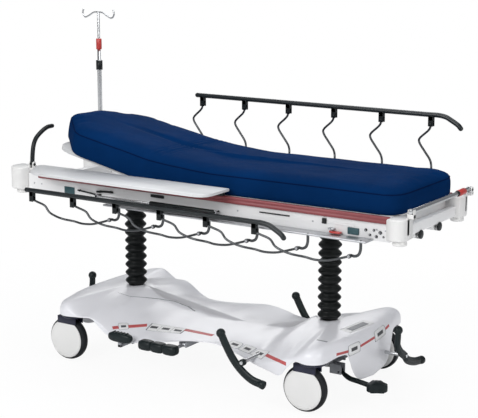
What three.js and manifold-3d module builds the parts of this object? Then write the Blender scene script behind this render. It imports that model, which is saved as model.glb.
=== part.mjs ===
// Hospital transport stretcher on a wheeled base with two hydraulic lift columns.
// Millimetres, Z up, foot end towards +X, the near side of the photo towards -Y.
import * as THREE from 'three';
import { mergeVertices } from 'three/addons/utils/BufferGeometryUtils.js';
import Module from 'manifold-3d';

const wasm = await Module();
wasm.setup();

// The whole model is moved so that its bounding box stands centred on the origin.
const centringShift = { x: 10.5, y: 42 };
const fit = 0.3;
const seatGap = 0.4;

const twoPi = Math.PI * 2;
const roundSides = 10;
const smallSides = 6;
const ballSides = 8;

// The bore, of so many sides, that a pin can turn in.
function turningBore(pinRadius, sides) {
  return pinRadius / Math.cos(Math.PI / sides) + fit;
}

// Base and casters
const casterX = 643.5;
const casterY = 335;
const casterTrail = 33.5;
const wheelRadius = 101.5;
const wheelHalfWidth = 21;
const wheelSides = 20;
const coverSides = 16;
const treadShare = 0.78;
const axleRadius = 6;
const wheelBore = turningBore(axleRadius, roundSides);
const weldOverlap = 1;
const coverRadius = 90;
const coverInner = 23.5;
const coverThickness = 6;
const forkNeck = { x: [-45, 62], z: [120, 212] };
const forkCrownZ = [204.6, 212];
const forkStem = { radius: 14, z: [206, 250] };
const socket = {
  radius: 57, boss: 24, bore: turningBore(forkStem.radius, roundSides), z: [213.2, 231], bossTop: 250,
};
const crossTube = { half: 25, y: [-352, 352], z: [236, 262] };
const longTube = { x: [-600, 600], y: [70, 110], z: [165, 205] };
const gusset = { x: [556, 665], y: [86, 94], z: [166, 261] };
const crossPlate = { x: [618, 628], y: [-132, 132], z: [148, 262] };
const columnPlate = { half: 100, y: [-130, 130], z: [184, 190] };
const columnX = 532;

// Hydraulic columns
const ram = { radius: 20, z: [480, 749] };
const sleeve = { outer: 25, bore: ram.radius + seatGap, z: [290, 528] };
const cylinder = { outer: 30, bore: sleeve.outer + seatGap, z: [95, 340], floor: 12 };
const flangeThickness = 8.7;
const flangeFoot = columnPlate.z[1] + fit;
const cylinderFlange = { radius: 46, z: [flangeFoot, flangeFoot + flangeThickness] };
const ramCollar = { radius: 38, z: [704.6, 712] };
const tiltPinZ = 735;
const tiltPin = { radius: 7, half: 56 };
const bellows = { z: [309.6, 704], folds: 10, crest: 52, valley: 36.5, bore: 33, sides: 14 };

// Hood: rim points x, y, z of one half, from the foot end round to the head end
const hoodRim = [
  [755, 0, 90], [751, 130, 110], [747, 168, 150], [743, 196, 206],
  [738, 216, 236], [724, 270, 238], [709.5, 335, 228], [700.6, 368, 228],
  [676.5, 392.2, 228], [643.5, 401, 228], [590, 397, 230], [545, 391, 190],
  [510, 384, 152], [450, 374, 158], [370, 352, 165], [310, 332, 172], [250, 311, 180],
  [190, 302, 190], [128, 306, 203], [60, 326, 206], [0, 344, 203], [-100, 366, 187],
  [-200, 376, 168], [-290, 379, 156], [-400, 379, 166],
  [-439, 379, 183], [-470, 381, 208], [-503, 386, 234], [-560, 393, 232],
  [-643.5, 401, 228], [-676.5, 392.2, 228], [-700.6, 368, 228], [-709.5, 335, 228],
  [-724, 270, 238], [-738, 216, 236], [-743, 196, 206], [-747, 168, 150],
  [-751, 130, 110], [-755, 0, 90],
];
const hoodCrown = [
  [-800, 305], [-600, 307], [-532, 309], [-460, 303], [-350, 268], [-200, 256],
  [-60, 240], [60, 234], [200, 234], [320, 240], [460, 298], [532, 309], [600, 307], [800, 305],
];
const hoodWall = 4;
const hoodSpineHalf = 560;
const hoodSpineWidth = 12;
const hoodSkirtTop = 234;
const hoodLip = 3;
const hoodOuterShares = [0.28, 0.58, 0.83, 0.96, 1];
const hoodInnerShares = [1, 0.88];
const hoodMidShape = { dropShare: 0.65, slopePower: 1.5, edgePower: 4, roundPower: 1.5 };
const hoodEndShape = { dropShare: 0.14, slopePower: 1.5, edgePower: 14, roundPower: 3 };
const hoodEndFrom = 320;
const hoodEndTo = 600;
const columnSeat = { flat: 62, blend: 118, z: 309 };
const columnGap = 3;
const shaftSlot = { half: 11, z: [112, 216], x: [715, 790] };

// Steering shafts and levers
const shaftRadius = 8;
const sideShaft = { x: 350, z: 190, from: -80, to: -434 };
const farShaft = { x: 265, z: 161, from: 80, to: 364 };
const endShaft = { y: 117, z: 163, from: 600, to: 860 };
const leverBar = { radius: 11, breadth: 19, sides: 6, steps: 9 };
const leverHub = { radius: 14.5, half: 10.5, bore: turningBore(shaftRadius, roundSides) };
const leverKnob = 20;
const leverPad = { radius: 19, flatten: 0.5 };
const sideLeverY = -420;
const farLeverY = 350;
const endLeverX = 845;
const sideLever = [[-111, 111], [-85, 63], [-49, 7], [-3, -39], [47, -69], [91, -79]];
const sideWeb = [[-16, -26], [0, 0]];
const endLever = [
  [-67, 132], [-68, 100], [-70, 68], [-39, 27], [0, 0], [26, -25], [98, -54], [163, -66],
];

// Pedals
const pedalPin = 5;
const pedalEye = { radius: 10, half: 11, bore: turningBore(pedalPin, smallSides) };
const pedalCheek = { inner: 11.4, outer: 20 };
const sidePedalPivotY = -328;
const sideCheekY = [-339, -100];
const brakePedal = {
  x: -318, z: 146, cheekTop: 170, padY: -404, padZ: 182, padHalf: [66, 21, 23],
};
const releasePedal = {
  x: -20, z: 180, cheekTop: 194, padX: -90, padY: -424, padZ: 180, padHalf: [98, 27, 22],
  lobes: 3, lobeShare: 1.06,
};
const pedalArmHalf = 9;
const footPedal = {
  y: -125, x: 662, z: 128, bend: [700, 104], tip: [806, 88], pad: [838, 88],
  lobes: 3, lobe: 25, lobeReach: 24, padThickness: 34, arm: 11,
};
const footCheek = { x: [618, 674], z: [116, 160] };
const padSides = 8;

// Litter frame
const railY = [262, 290];
const railX = [-944.6, 964.6];
const railZ = [765, 855];
const deckThickness = 14.3;
const deckZ = [railZ[1] + fit, railZ[1] + fit + deckThickness];
const seatDeck = { x: [-211, 962], y: [-286, 286] };
const hinge = { x: -225, z: 862, pin: 4.2, knuckle: 7.6, half: 256 };
const hingeLug = { y: [210, 230], x: [-225, -186], z: [846, 868.5] };
const hingeBeam = { x: [-216, -180], y: [-270, 270], z: [800, 850] };
const backKnuckleY = [180, 200];
const footBeam = { x: [930, 964.6], y: [-270, 270], z: [778, 850] };
const headBeam = { x: [-920, -880], y: [-270, 270], z: [775, 828] };
const pivotBeam = { x: [497, 567], y: [-270, 270], z: [772, 850] };
const slotBeam = { x: [-600, -500], y: [-270, 270], z: [776, 828] };
const hingePlate = { x: [502, 562], y: [40, 49], z: [718, 800] };
const slotPlate = { x: [-618, -494], y: [40, 49], z: [715, 800] };
const pinClearance = 7.6;
const slotReach = [-602, -520];
const slotHalf = 11;
const footBar = { x: [986, 1018], y: [-224.6, 224.6], z: [786, 830] };
const stubTube = { radius: 18.5, x: [930, 1024], z: 775, y: [56, -121] };
const railFace = railY[1] + seatGap;
const footFace = railX[1] + seatGap;
const headFace = railX[0] - seatGap;
const bumperWidth = 14.6;
const cornerLength = { foot: 71, head: 91 };
const bumper = { x: [-870, 964.4], y: [railFace, railFace + bumperWidth], z: [842, 872], bead: 3 };
const cornerFoot = { x: [footFace, footFace + cornerLength.foot], y: [225, 325], z: [780, 869] };
const cornerHead = { x: [headFace - cornerLength.head, headFace], y: [225, 325], z: [780, 885] };
const cornerRound = 34;
const cornerPad = { radius: 30, z: [757, 782] };

// Push handle, on a plate let into the head corner block: its path is set out from its eye
const handleSeat = {
  inset: 4.6, rise: 12, sink: 19, thickness: 11, headward: 22, footward: 14, half: 12,
};
const handle = {
  x: railX[0] + handleSeat.inset, y: -262, z: cornerHead.z[1] + handleSeat.rise,
  radius: 10.5, sides: 8, steps: 8, eye: 11,
  path: [[0, 7], [3, 43], [11, 83], [27, 113], [62, 139], [113, 160], [148, 162]],
};
const handlePlate = {
  x: [handle.x - handleSeat.headward, handle.x + handleSeat.footward],
  y: [handle.y - handleSeat.half, handle.y + handleSeat.half],
  z: [cornerHead.z[1] - handleSeat.sink, cornerHead.z[1] - handleSeat.sink + handleSeat.thickness],
};

// Backrest
const cushionHeadGap = 80;
const deckMargin = 28;
const cushionReach = hinge.x - handle.x - cushionHeadGap;
const backReach = cushionReach - deckMargin;
const backHalf = 250;
const backCorner = 120;
const backRib = { y: [140, 150], x: [-800, -262], z: [838, 856] };
const restTilt = THREE.MathUtils.degToRad(12);

// Mattress
const cushionOverhang = 4;
const cushion = { z: deckZ[1] + seatGap, half: railY[1] + cushionOverhang, foot: 1000 };
const cushionCorner = { foot: 108, head: 168, hinge: 14, leastShare: 0.1 };
const cushionOverrun = 120;
const cushionRings = [
  [0, 15], [3.5, 5], [14, 1.5], [50, 0], [82, 2], [86, 6.5], [90, 2.6], [96, 7], [101, 20],
  [104, 70], [106, 150], [107, 225],
];
const cushionArc = 6;
const foldGap = 0.5;
const foldInset = 7;
const foldWedge = { inner: 15, outer: 147, half: cushion.half - foldInset };
const foldDipShares = [0.86, 0.95, 0.8, 0.95, 0.86];
const foldAngles = [46, 122];
const foldLeanAngle = 45;
const cutReach = cushion.foot - hinge.x;

// Siderails
const spindleCount = 6;
const spindlePitch = 244;
const firstPivotX = -394;
const pivotZ = 709;
const railPlane = 395;
const innerPlane = 371;
const hangerPlane = 354;
const raisedPin = { x: -16, z: 437 };
const loweredPin = { x: -434, z: 50 };
const spindleRod = { radius: 5, sides: 5, steps: 9 };
const railPin = 4;
const spindleEye = { radius: 9, half: 5.6, bore: turningBore(railPin, smallSides), sides: smallSides };
const nearRodPath = [
  [-434, 50, 1], [-405, 42, 1], [-358, 28, 1], [-334, 2, 1], [-299, -12, 1], [-252, -21, 1],
  [-205, -31, 0], [-160, -36, 0], [-100, -31, 0], [-50, -17, 0], [0, 0, 0],
];
const farRodPath = [
  [-16, 437, 1], [-24, 414, 1], [-72, 366, 1], [-70, 350, 1], [-44, 314, 1], [-16, 276, 1],
  [-10, 252, 1], [0, 205, 0], [0, 140, 0], [0, 70, 0], [0, 0, 0],
];
const topRail = {
  radius: 11, rise: 42, before: 33, bend: 1258, after: 1370, drop: 65, sides: 10, steps: 6,
  lateShare: 0.85, lateDropShare: 0.6,
};
const clevis = { half: 12, yHalf: 10, slotHalf: 6.1, below: 9.5, slotTop: 15, open: 11 };
const pivotBarWidth = 69.6;
const pivotBar = { x: [-440, 892], y: [railFace, railFace + pivotBarWidth], z: [766, 774] };
const hanger = {
  half: 6, sides: 5, steps: 4,
  path: [[42, 771], [41, 735], [33, 716], [16, 707.5], [0, 709]],
};

// Drip poles: the heights of the tubes and of the hooks are set out from the pole's eye
const poleRise = 15;
const poleGap = 0.7;
const poleFoot = { x: -981, y: 306, z: cornerHead.z[1] + poleRise };
const poleTop = { radius: 6.6, z: [65, 678] };
const poleMid = { outer: 9, bore: poleTop.radius + poleGap, z: [30, 545], boreFrom: 45 };
const poleGrip = { radius: 14, z: [491, 545] };
const poleBase = { outer: 11, bore: poleMid.outer + fit, z: [12, 438], boreFrom: 26 };
const poleCollar = { radius: 16, z: [387, 438] };
const hookWire = { radius: 4, sides: 6, steps: 14 };
const hookPath = [
  [-94, 692], [-99, 666], [-84, 649], [-60, 657], [-28, 674], [0, 676],
  [28, 674], [60, 657], [84, 649], [99, 666], [94, 692],
];
const earPin = 5;
const poleEye = { radius: 10, half: 7.4, bore: turningBore(earPin, roundSides), neck: 8, tongue: 7 };
const ear = { inner: 8, outer: 13, radius: 10, plate: 6 };
const stowRise = 31;
const stowed = {
  x: 1049, y: 290, z: cornerFoot.z[1] + stowRise, radius: 9.5, from: 278, to: -284,
  collar: [167, 230], ring: [156, 166.5], collarRadius: 14, ringRadius: 12, coreRadius: 11,
};
const stowPlateLift = 3;
const stowPlateThickness = 14;
const stowPlate = {
  x: [1030, 1062],
  z: [cornerFoot.z[1] + stowPlateLift, cornerFoot.z[1] + stowPlateLift + stowPlateThickness],
};
const stowEarY = 12;
const clipY = [-283, -262];
const clipArm = { inner: stowed.radius + poleGap, outer: 13, rise: 8 };
const clipPlateGap = 0.9;
const clipPlateTop = stowed.z - stowed.radius - clipPlateGap;

// Side board, gas spring and latch
const boardOutline = [
  [-850, 330], [-790, 447], [-740, 478], [-680, 488], [-300, 490], [150, 490],
  [183, 480], [200, 458], [204, 430], [204, 298], [-832, 298], [-850, 312],
];
const boardZ = [895, 906];
const boardFoot = {
  y: [298, 314], z: [bumper.z[1] + seatGap, boardZ[0] + weldOverlap], half: 30,
  x: [-760, -420, -120, 150],
};
const springPin = { radius: 4.1, to: 330 };
const spring = {
  y: 320, z: 799, rodX: [-505, -190], bodyX: [-204, 143], rod: 4, body: 10, eye: 9,
  bore: turningBore(springPin.radius, roundSides), eyeHalf: 6,
};
const latch = { x: [704, 751], y: [296, 320], z: [779, 786], eyeX: 704, eye: 8, pin: 3 };
const latchPlate = { x: [690, 716], y: [289, 306], z: [790, 797] };

// Colours of the draft model
const paint = {
  hood: 0xd9dade, frame: 0xe4e5e8, dark: 0x14171a, tyre: 0x101214, cover: 0xe6e6e4,
  chrome: 0xb9bec4, navy: 0x14305c, red: 0xb9585b, board: 0xd4d5d7, green: 0x17211f,
  collar: 0x1b2338,
};

// Solids

function solidOf(geometry) {
  const plain = geometry.index ? geometry.toNonIndexed() : geometry.clone();
  plain.deleteAttribute('normal');
  plain.deleteAttribute('uv');
  const merged = mergeVertices(plain, weldDistance);
  const vertProperties = new Float32Array(merged.attributes.position.array);
  const triVerts = new Uint32Array(merged.index.array);
  return new wasm.Manifold(new wasm.Mesh({ numProp: positionSize, vertProperties, triVerts }));
}

function geometryOf(solid) {
  const mesh = solid.getMesh();
  const geometry = new THREE.BufferGeometry();
  const stride = mesh.numProp;
  const count = mesh.vertProperties.length / stride;
  const position = new Float32Array(count * positionSize);
  for (let i = 0; i < count; i += 1) {
    for (let k = 0; k < positionSize; k += 1) {
      position[i * positionSize + k] = mesh.vertProperties[i * stride + k];
    }
  }
  geometry.setAttribute('position', new THREE.BufferAttribute(position, positionSize));
  geometry.setIndex(new THREE.BufferAttribute(new Uint32Array(mesh.triVerts), 1));
  geometry.computeVertexNormals();
  return geometry;
}

function join(solids) {
  return solids.reduce((sum, next) => sum.add(next));
}

function slab(extent) {
  const [x, y, z] = [extent.x, extent.y, extent.z];
  const geometry = new THREE.BoxGeometry(x[1] - x[0], y[1] - y[0], z[1] - z[0]);
  geometry.translate((x[0] + x[1]) / 2, (y[0] + y[1]) / 2, (z[0] + z[1]) / 2);
  return solidOf(geometry);
}

function mirrored(range, side) {
  return side > 0 ? [range[0], range[1]] : [-range[1], -range[0]];
}

// A round bar between two points.
function bar(radius, from, to, sides = roundSides) {
  const a = new THREE.Vector3(...from);
  const b = new THREE.Vector3(...to);
  const geometry = new THREE.CylinderGeometry(radius, radius, a.distanceTo(b), sides);
  const turn = new THREE.Quaternion().setFromUnitVectors(
    new THREE.Vector3(0, 1, 0), b.clone().sub(a).normalize());
  geometry.applyQuaternion(turn);
  const middle = a.add(b).divideScalar(2);
  geometry.translate(middle.x, middle.y, middle.z);
  return solidOf(geometry);
}

function ball(radius, centre, flatten = 1) {
  const geometry = new THREE.SphereGeometry(radius, ballSides, ballSides / 2);
  geometry.scale(1, 1, flatten);
  geometry.translate(...centre);
  return solidOf(geometry);
}

// A wire or tube bent along a smooth path. A flat path may have a broader section in its own plane.
function bent(points, radius, sides, steps, breadth = radius) {
  const outline = new THREE.Shape();
  for (let i = 0; i < sides; i += 1) {
    const angle = twoPi * i / sides;
    const place = [radius * Math.cos(angle), breadth * Math.sin(angle)];
    if (i === 0) outline.moveTo(...place);
    else outline.lineTo(...place);
  }
  outline.closePath();
  const path = new THREE.CatmullRomCurve3(points.map((p) => new THREE.Vector3(...p)), false, 'centripetal');
  const geometry = new THREE.ExtrudeGeometry(outline, { steps, extrudePath: path });
  return solidOf(geometry);
}

// A flat outline in X and Y raised between two heights.
function plate(outline, z) {
  const shape = new THREE.Shape(outline.map((p) => new THREE.Vector2(p[0], p[1])));
  const geometry = new THREE.ExtrudeGeometry(shape, { depth: z[1] - z[0], bevelEnabled: false });
  geometry.translate(0, 0, z[0]);
  return solidOf(geometry);
}

// A closed profile of radius and height turned about an upright axis.
function turned(profile, centre, sides = roundSides) {
  const points = profile.map((p) => new THREE.Vector2(p[0], p[1]));
  const geometry = new THREE.LatheGeometry(points, sides);
  geometry.rotateX(Math.PI / 2);
  geometry.translate(centre[0], centre[1], 0);
  return solidOf(geometry);
}

// Skin through closed rings with equal numbers of points, capped at both ends.
function skinned(rings) {
  const count = rings[0].length;
  const position = [];
  for (const ring of rings) {
    for (const p of ring) position.push(...p);
  }
  const index = [];
  for (let j = 0; j + 1 < rings.length; j += 1) {
    for (let i = 0; i < count; i += 1) {
      const next = (i + 1) % count;
      const [a, b] = [j * count + i, j * count + next];
      const [c, d] = [a + count, b + count];
      index.push(a, b, d, a, d, c);
    }
  }
  const flat = (ring) => ring.map((p) => new THREE.Vector2(p[0], p[1]));
  const capFirst = THREE.ShapeUtils.triangulateShape(flat(rings[0]), []);
  for (const [a, b, c] of capFirst) index.push(c, b, a);
  const offset = (rings.length - 1) * count;
  const capLast = THREE.ShapeUtils.triangulateShape(flat(rings[rings.length - 1]), []);
  for (const [a, b, c] of capLast) index.push(offset + a, offset + b, offset + c);
  const geometry = new THREE.BufferGeometry();
  geometry.setAttribute('position', new THREE.Float32BufferAttribute(position, positionSize));
  geometry.setIndex(index);
  return solidOf(geometry);
}

const weldDistance = 1e-4;
const positionSize = 3;
const group = new THREE.Group();
group.name = 'transport_stretcher';

function addNode(name, solid, color) {
  const material = new THREE.MeshStandardMaterial({ color });
  const mesh = new THREE.Mesh(geometryOf(solid), material);
  mesh.name = name;
  group.add(mesh);
  return mesh;
}

function smooth(from, to, value) {
  const t = Math.min(1, Math.max(0, (value - from) / (to - from)));
  return t * t * (3 - 2 * t);
}

function tableValue(table, x) {
  for (let i = 0; i + 1 < table.length; i += 1) {
    const [low, high] = [table[i], table[i + 1]];
    if (x <= high[0]) {
      const t = Math.max(0, (x - low[0]) / (high[0] - low[0]));
      return low[1] + (high[1] - low[1]) * t * t * (3 - 2 * t);
    }
  }
  return table[table.length - 1][1];
}

const ends = [1, -1];
const corners = [
  { name: 'near_foot', x: 1, y: -1 }, { name: 'far_foot', x: 1, y: 1 },
  { name: 'near_head', x: -1, y: -1 }, { name: 'far_head', x: -1, y: 1 },
];

// Base frame

function casterSocket(corner) {
  const at = [corner.x * casterX, corner.y * casterY];
  return bar(socket.radius, [...at, socket.z[0]], [...at, socket.z[1]], coverSides)
    .add(slab({
      x: [at[0] - socket.boss, at[0] + socket.boss], y: [at[1] - socket.boss, at[1] + socket.boss],
      z: [socket.z[0] + fit, socket.bossTop],
    }));
}

function baseFrame() {
  const parts = [];
  const cuts = [];
  for (const side of ends) {
    const x = side * casterX;
    parts.push(slab({ x: [x - crossTube.half, x + crossTube.half], y: crossTube.y, z: crossTube.z }));
    parts.push(slab({ x: longTube.x, y: mirrored(longTube.y, side), z: longTube.z }));
    const seat = side * columnX;
    parts.push(slab({
      x: [seat - columnPlate.half, seat + columnPlate.half], y: columnPlate.y, z: columnPlate.z,
    }));
    parts.push(slab({ x: mirrored(crossPlate.x, side), y: crossPlate.y, z: crossPlate.z }));
    for (const flank of ends) {
      parts.push(slab({ x: mirrored(gusset.x, side), y: mirrored(gusset.y, flank), z: gusset.z }));
    }
    parts.push(bar(shaftRadius, [side * endShaft.from, endShaft.y, endShaft.z],
      [side * endShaft.to, endShaft.y, endShaft.z], smallSides));
    cuts.push(bar(cylinder.outer + fit, [seat, 0, 0], [seat, 0, columnSeat.z], roundSides));
  }
  for (const corner of corners) {
    parts.push(casterSocket(corner));
    const at = [corner.x * casterX, corner.y * casterY];
    cuts.push(bar(socket.bore, [...at, 0], [...at, forkStem.z[1] + fit]));
  }
  parts.push(bar(shaftRadius, [sideShaft.x, sideShaft.from, sideShaft.z],
    [sideShaft.x, sideShaft.to, sideShaft.z], smallSides));
  parts.push(bar(shaftRadius, [farShaft.x, farShaft.from, farShaft.z],
    [farShaft.x, farShaft.to, farShaft.z], smallSides));
  for (const pedal of [brakePedal, releasePedal]) {
    for (const side of ends) {
      const cheek = mirrored([pedalCheek.inner, pedalCheek.outer], side);
      parts.push(slab({
        x: [pedal.x + cheek[0], pedal.x + cheek[1]], y: sideCheekY,
        z: [pedal.z - pedalEye.radius, pedal.cheekTop],
      }));
    }
    parts.push(bar(pedalPin, [pedal.x - pedalCheek.outer, sidePedalPivotY, pedal.z],
      [pedal.x + pedalCheek.outer, sidePedalPivotY, pedal.z], smallSides));
  }
  for (const side of ends) {
    const cheek = mirrored([pedalCheek.inner, pedalCheek.outer], side);
    parts.push(slab({
      x: footCheek.x, y: [footPedal.y + cheek[0], footPedal.y + cheek[1]], z: footCheek.z,
    }));
  }
  parts.push(bar(pedalPin, [footPedal.x, footPedal.y - pedalCheek.outer, footPedal.z],
    [footPedal.x, footPedal.y + pedalCheek.outer, footPedal.z], smallSides));
  return join(parts).subtract(join(cuts));
}

addNode('base_frame', baseFrame(), paint.frame);

// Hood

// The roof's edge: over the casters and at the ends the skirt hangs straight down from it.
function hoodEave(rim) {
  const endness = smooth(hoodEndFrom, hoodEndTo, Math.abs(rim[0]));
  const lip = rim[2] + hoodLip;
  return lip + Math.max(0, hoodSkirtTop - lip) * endness;
}

function hoodHeight(rim, share) {
  const spineX = Math.max(-hoodSpineHalf, Math.min(hoodSpineHalf, rim[0]));
  const x = spineX + (rim[0] - spineX) * share;
  const y = rim[1] * share;
  const endness = smooth(hoodEndFrom, hoodEndTo, Math.abs(rim[0]));
  const crown = tableValue(hoodCrown, x);
  const shapes = [hoodMidShape, hoodEndShape].map((shape) => {
    const slope = 1 - shape.dropShare * share ** shape.slopePower;
    const edge = (1 - share ** shape.edgePower) ** (1 / shape.roundPower);
    return slope * edge;
  });
  const level = shapes[0] * (1 - endness) + shapes[1] * endness;
  const eave = hoodEave(rim);
  const z = eave + (crown - eave) * level;
  const reach = Math.hypot(Math.abs(x) - columnX, y);
  return columnSeat.z + (z - columnSeat.z) * smooth(columnSeat.flat, columnSeat.blend, reach);
}

function hoodRing(outline, share, inset) {
  return outline.map((rim) => {
    const spineX = Math.max(-hoodSpineHalf, Math.min(hoodSpineHalf, rim[0]));
    const reach = Math.hypot(rim[0] - spineX, rim[1]);
    const scale = share * (reach - inset) / reach;
    const z = Math.max(rim[2], hoodHeight(rim, share) - inset);
    return [spineX + (rim[0] - spineX) * scale, rim[1] * scale, share === 1 && inset ? rim[2] : z];
  });
}

function hoodSpineRing(outline, inset) {
  return outline.map((rim) => {
    const spineX = Math.max(-hoodSpineHalf, Math.min(hoodSpineHalf, rim[0]));
    const reach = Math.hypot(rim[0] - spineX, rim[1]);
    const x = spineX + (rim[0] - spineX) / reach * hoodSpineWidth;
    const y = rim[1] / reach * hoodSpineWidth;
    return [x, y, hoodHeight(rim, hoodSpineWidth / reach) - inset];
  });
}

function hood() {
  const near = hoodRim.slice(1, -1).reverse().map((p) => [p[0], -p[1], p[2]]);
  const outline = [...hoodRim, ...near];
  const rings = [hoodSpineRing(outline, hoodWall)];
  for (const share of [...hoodInnerShares].reverse()) rings.push(hoodRing(outline, share, hoodWall));
  rings.push(outline);
  for (const share of [...hoodOuterShares].reverse()) rings.push(hoodRing(outline, share, 0));
  rings.push(hoodSpineRing(outline, 0));
  const shell = skinned(rings);
  const cuts = [];
  for (const side of ends) {
    const seat = side * columnX;
    cuts.push(bar(cylinder.outer + columnGap, [seat, 0, columnPlate.z[1]], [seat, 0, bellows.z[1]]));
    cuts.push(slab({
      x: mirrored(shaftSlot.x, side),
      y: [endShaft.y - shaftSlot.half, endShaft.y + shaftSlot.half], z: shaftSlot.z,
    }));
  }
  cuts.push(bar(shaftRadius + shaftRadius / 2, [sideShaft.x, sideCheekY[1], sideShaft.z],
    [sideShaft.x, sideLeverY, sideShaft.z], smallSides));
  return shell.subtract(join(cuts));
}

addNode('base_hood', hood(), paint.hood);

// Casters

function casterFork(corner) {
  const x = corner.x * casterX - casterTrail;
  const y = corner.y * casterY;
  const parts = [];
  for (const side of ends) {
    const inner = y + side * coverInner;
    const outer = y + side * (coverInner + coverThickness);
    parts.push(bar(coverRadius, [x, inner, wheelRadius], [x, outer, wheelRadius], coverSides));
    parts.push(slab({
      x: [x + forkNeck.x[0], x + forkNeck.x[1]], y: [Math.min(inner, outer), Math.max(inner, outer)],
      z: forkNeck.z,
    }));
  }
  const halfWidth = coverInner + coverThickness;
  parts.push(slab({
    x: [x + forkNeck.x[0], x + forkNeck.x[1]], y: [y - halfWidth, y + halfWidth], z: forkCrownZ,
  }));
  parts.push(bar(axleRadius, [x, y - coverInner - weldOverlap, wheelRadius],
    [x, y + coverInner + weldOverlap, wheelRadius], smallSides));
  const swivel = corner.x * casterX;
  parts.push(bar(forkStem.radius, [swivel, y, forkStem.z[0]], [swivel, y, forkStem.z[1]]));
  return join(parts);
}

function casterWheel(corner) {
  const radius = wheelRadius / Math.cos(Math.PI / wheelSides);
  const profile = [
    [wheelBore, -wheelHalfWidth], [radius * treadShare, -wheelHalfWidth],
    [radius, -wheelHalfWidth * treadShare], [radius, wheelHalfWidth * treadShare],
    [radius * treadShare, wheelHalfWidth], [wheelBore, wheelHalfWidth], [wheelBore, -wheelHalfWidth],
  ];
  const geometry = new THREE.LatheGeometry(profile.map((p) => new THREE.Vector2(...p)), wheelSides);
  geometry.rotateY(Math.PI / wheelSides);
  geometry.translate(corner.x * casterX - casterTrail, corner.y * casterY, wheelRadius);
  return solidOf(geometry);
}

for (const corner of corners) {
  addNode(`${corner.name}_caster_fork`, casterFork(corner), paint.cover);
  addNode(`${corner.name}_caster_wheel`, casterWheel(corner), paint.tyre);
}

// Hydraulic columns and bellows

function bellowsSolid(x) {
  const [low, high] = bellows.z;
  const step = (high - low) / (2 * bellows.folds);
  const outer = [];
  for (let i = 0; i <= 2 * bellows.folds; i += 1) {
    const radius = i % 2 === 0 ? bellows.valley : bellows.crest;
    outer.push([radius, low + i * step]);
  }
  const inner = [[bellows.bore, high], [bellows.bore, low]];
  return turned([...outer, ...inner, outer[0]], [x, 0], bellows.sides);
}

for (const side of ends) {
  const name = side > 0 ? 'foot' : 'head';
  const x = side * columnX;
  const body = join([
    bar(cylinder.outer, [x, 0, cylinder.z[0]], [x, 0, cylinder.z[1]]),
    bar(cylinderFlange.radius, [x, 0, cylinderFlange.z[0]], [x, 0, cylinderFlange.z[1]]),
  ]).subtract(bar(cylinder.bore, [x, 0, cylinder.z[0] + cylinder.floor], [x, 0, bellows.z[1]]));
  addNode(`${name}_jack_cylinder`, body, paint.chrome);
  const tube = bar(sleeve.outer, [x, 0, sleeve.z[0]], [x, 0, sleeve.z[1]])
    .subtract(bar(sleeve.bore, [x, 0, cylinder.z[0]], [x, 0, bellows.z[1]]));
  addNode(`${name}_jack_sleeve`, tube, paint.chrome);
  const rod = join([
    bar(ram.radius, [x, 0, ram.z[0]], [x, 0, ram.z[1]]),
    bar(ramCollar.radius, [x, 0, ramCollar.z[0]], [x, 0, ramCollar.z[1]]),
    bar(tiltPin.radius, [x, -tiltPin.half, tiltPinZ], [x, tiltPin.half, tiltPinZ], smallSides),
  ]);
  addNode(`${name}_jack_ram`, rod, paint.chrome);
  addNode(`${name}_bellows`, bellowsSolid(x), paint.dark);
}

// Litter frame

function litterFrame() {
  const parts = [
    slab({ ...seatDeck, z: deckZ }), slab(hingeBeam), slab(footBeam), slab(headBeam),
    slab(pivotBeam), slab(slotBeam), slab(footBar),
    bar(hinge.pin, [hinge.x, -hinge.half, hinge.z], [hinge.x, hinge.half, hinge.z], smallSides),
  ];
  const cuts = [];
  for (const side of ends) {
    parts.push(slab({ x: railX, y: mirrored(railY, side), z: railZ }));
    parts.push(slab({ ...hingePlate, y: mirrored(hingePlate.y, side) }));
    parts.push(slab({ ...slotPlate, y: mirrored(slotPlate.y, side) }));
    parts.push(slab({ ...hingeLug, y: mirrored(hingeLug.y, side) }));
    const lug = mirrored(hingeLug.y, side);
    parts.push(bar(hinge.knuckle - fit, [hinge.x, lug[0], hinge.z], [hinge.x, lug[1], hinge.z], smallSides));
  }
  for (const y of stubTube.y) {
    parts.push(bar(stubTube.radius, [stubTube.x[0], y, stubTube.z], [stubTube.x[1], y, stubTube.z]));
  }
  cuts.push(bar(pinClearance, [columnX, -tiltPin.half, tiltPinZ], [columnX, tiltPin.half, tiltPinZ]));
  cuts.push(slab({
    x: slotReach, y: [-tiltPin.half, tiltPin.half], z: [tiltPinZ - slotHalf, tiltPinZ + slotHalf],
  }));
  for (const x of [spring.rodX[0], spring.bodyX[1]]) {
    parts.push(bar(springPin.radius, [x, -railY[0], spring.z], [x, -springPin.to, spring.z], smallSides));
  }
  parts.push(slab({ ...latchPlate, y: mirrored(latchPlate.y, -1) }));
  parts.push(bar(latch.pin, [latch.eyeX, -(latch.y[0] + latch.eye), latch.z[0]],
    [latch.eyeX, -(latch.y[0] + latch.eye), latchPlate.z[1]], smallSides));
  return join(parts).subtract(join(cuts));
}

addNode('litter_frame', litterFrame(), paint.frame);

function bumperBand(side) {
  const y = mirrored(bumper.y, side);
  const bead = mirrored([bumper.y[0], bumper.y[1] - bumper.bead], side);
  return join([
    slab({ x: bumper.x, y, z: [bumper.z[0], bumper.z[1] - bumper.bead] }),
    slab({ x: bumper.x, y: bead, z: bumper.z }),
  ]);
}

addNode('near_bumper_band', bumperBand(-1), paint.red);
addNode('far_bumper_band', bumperBand(1), paint.red);

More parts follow.
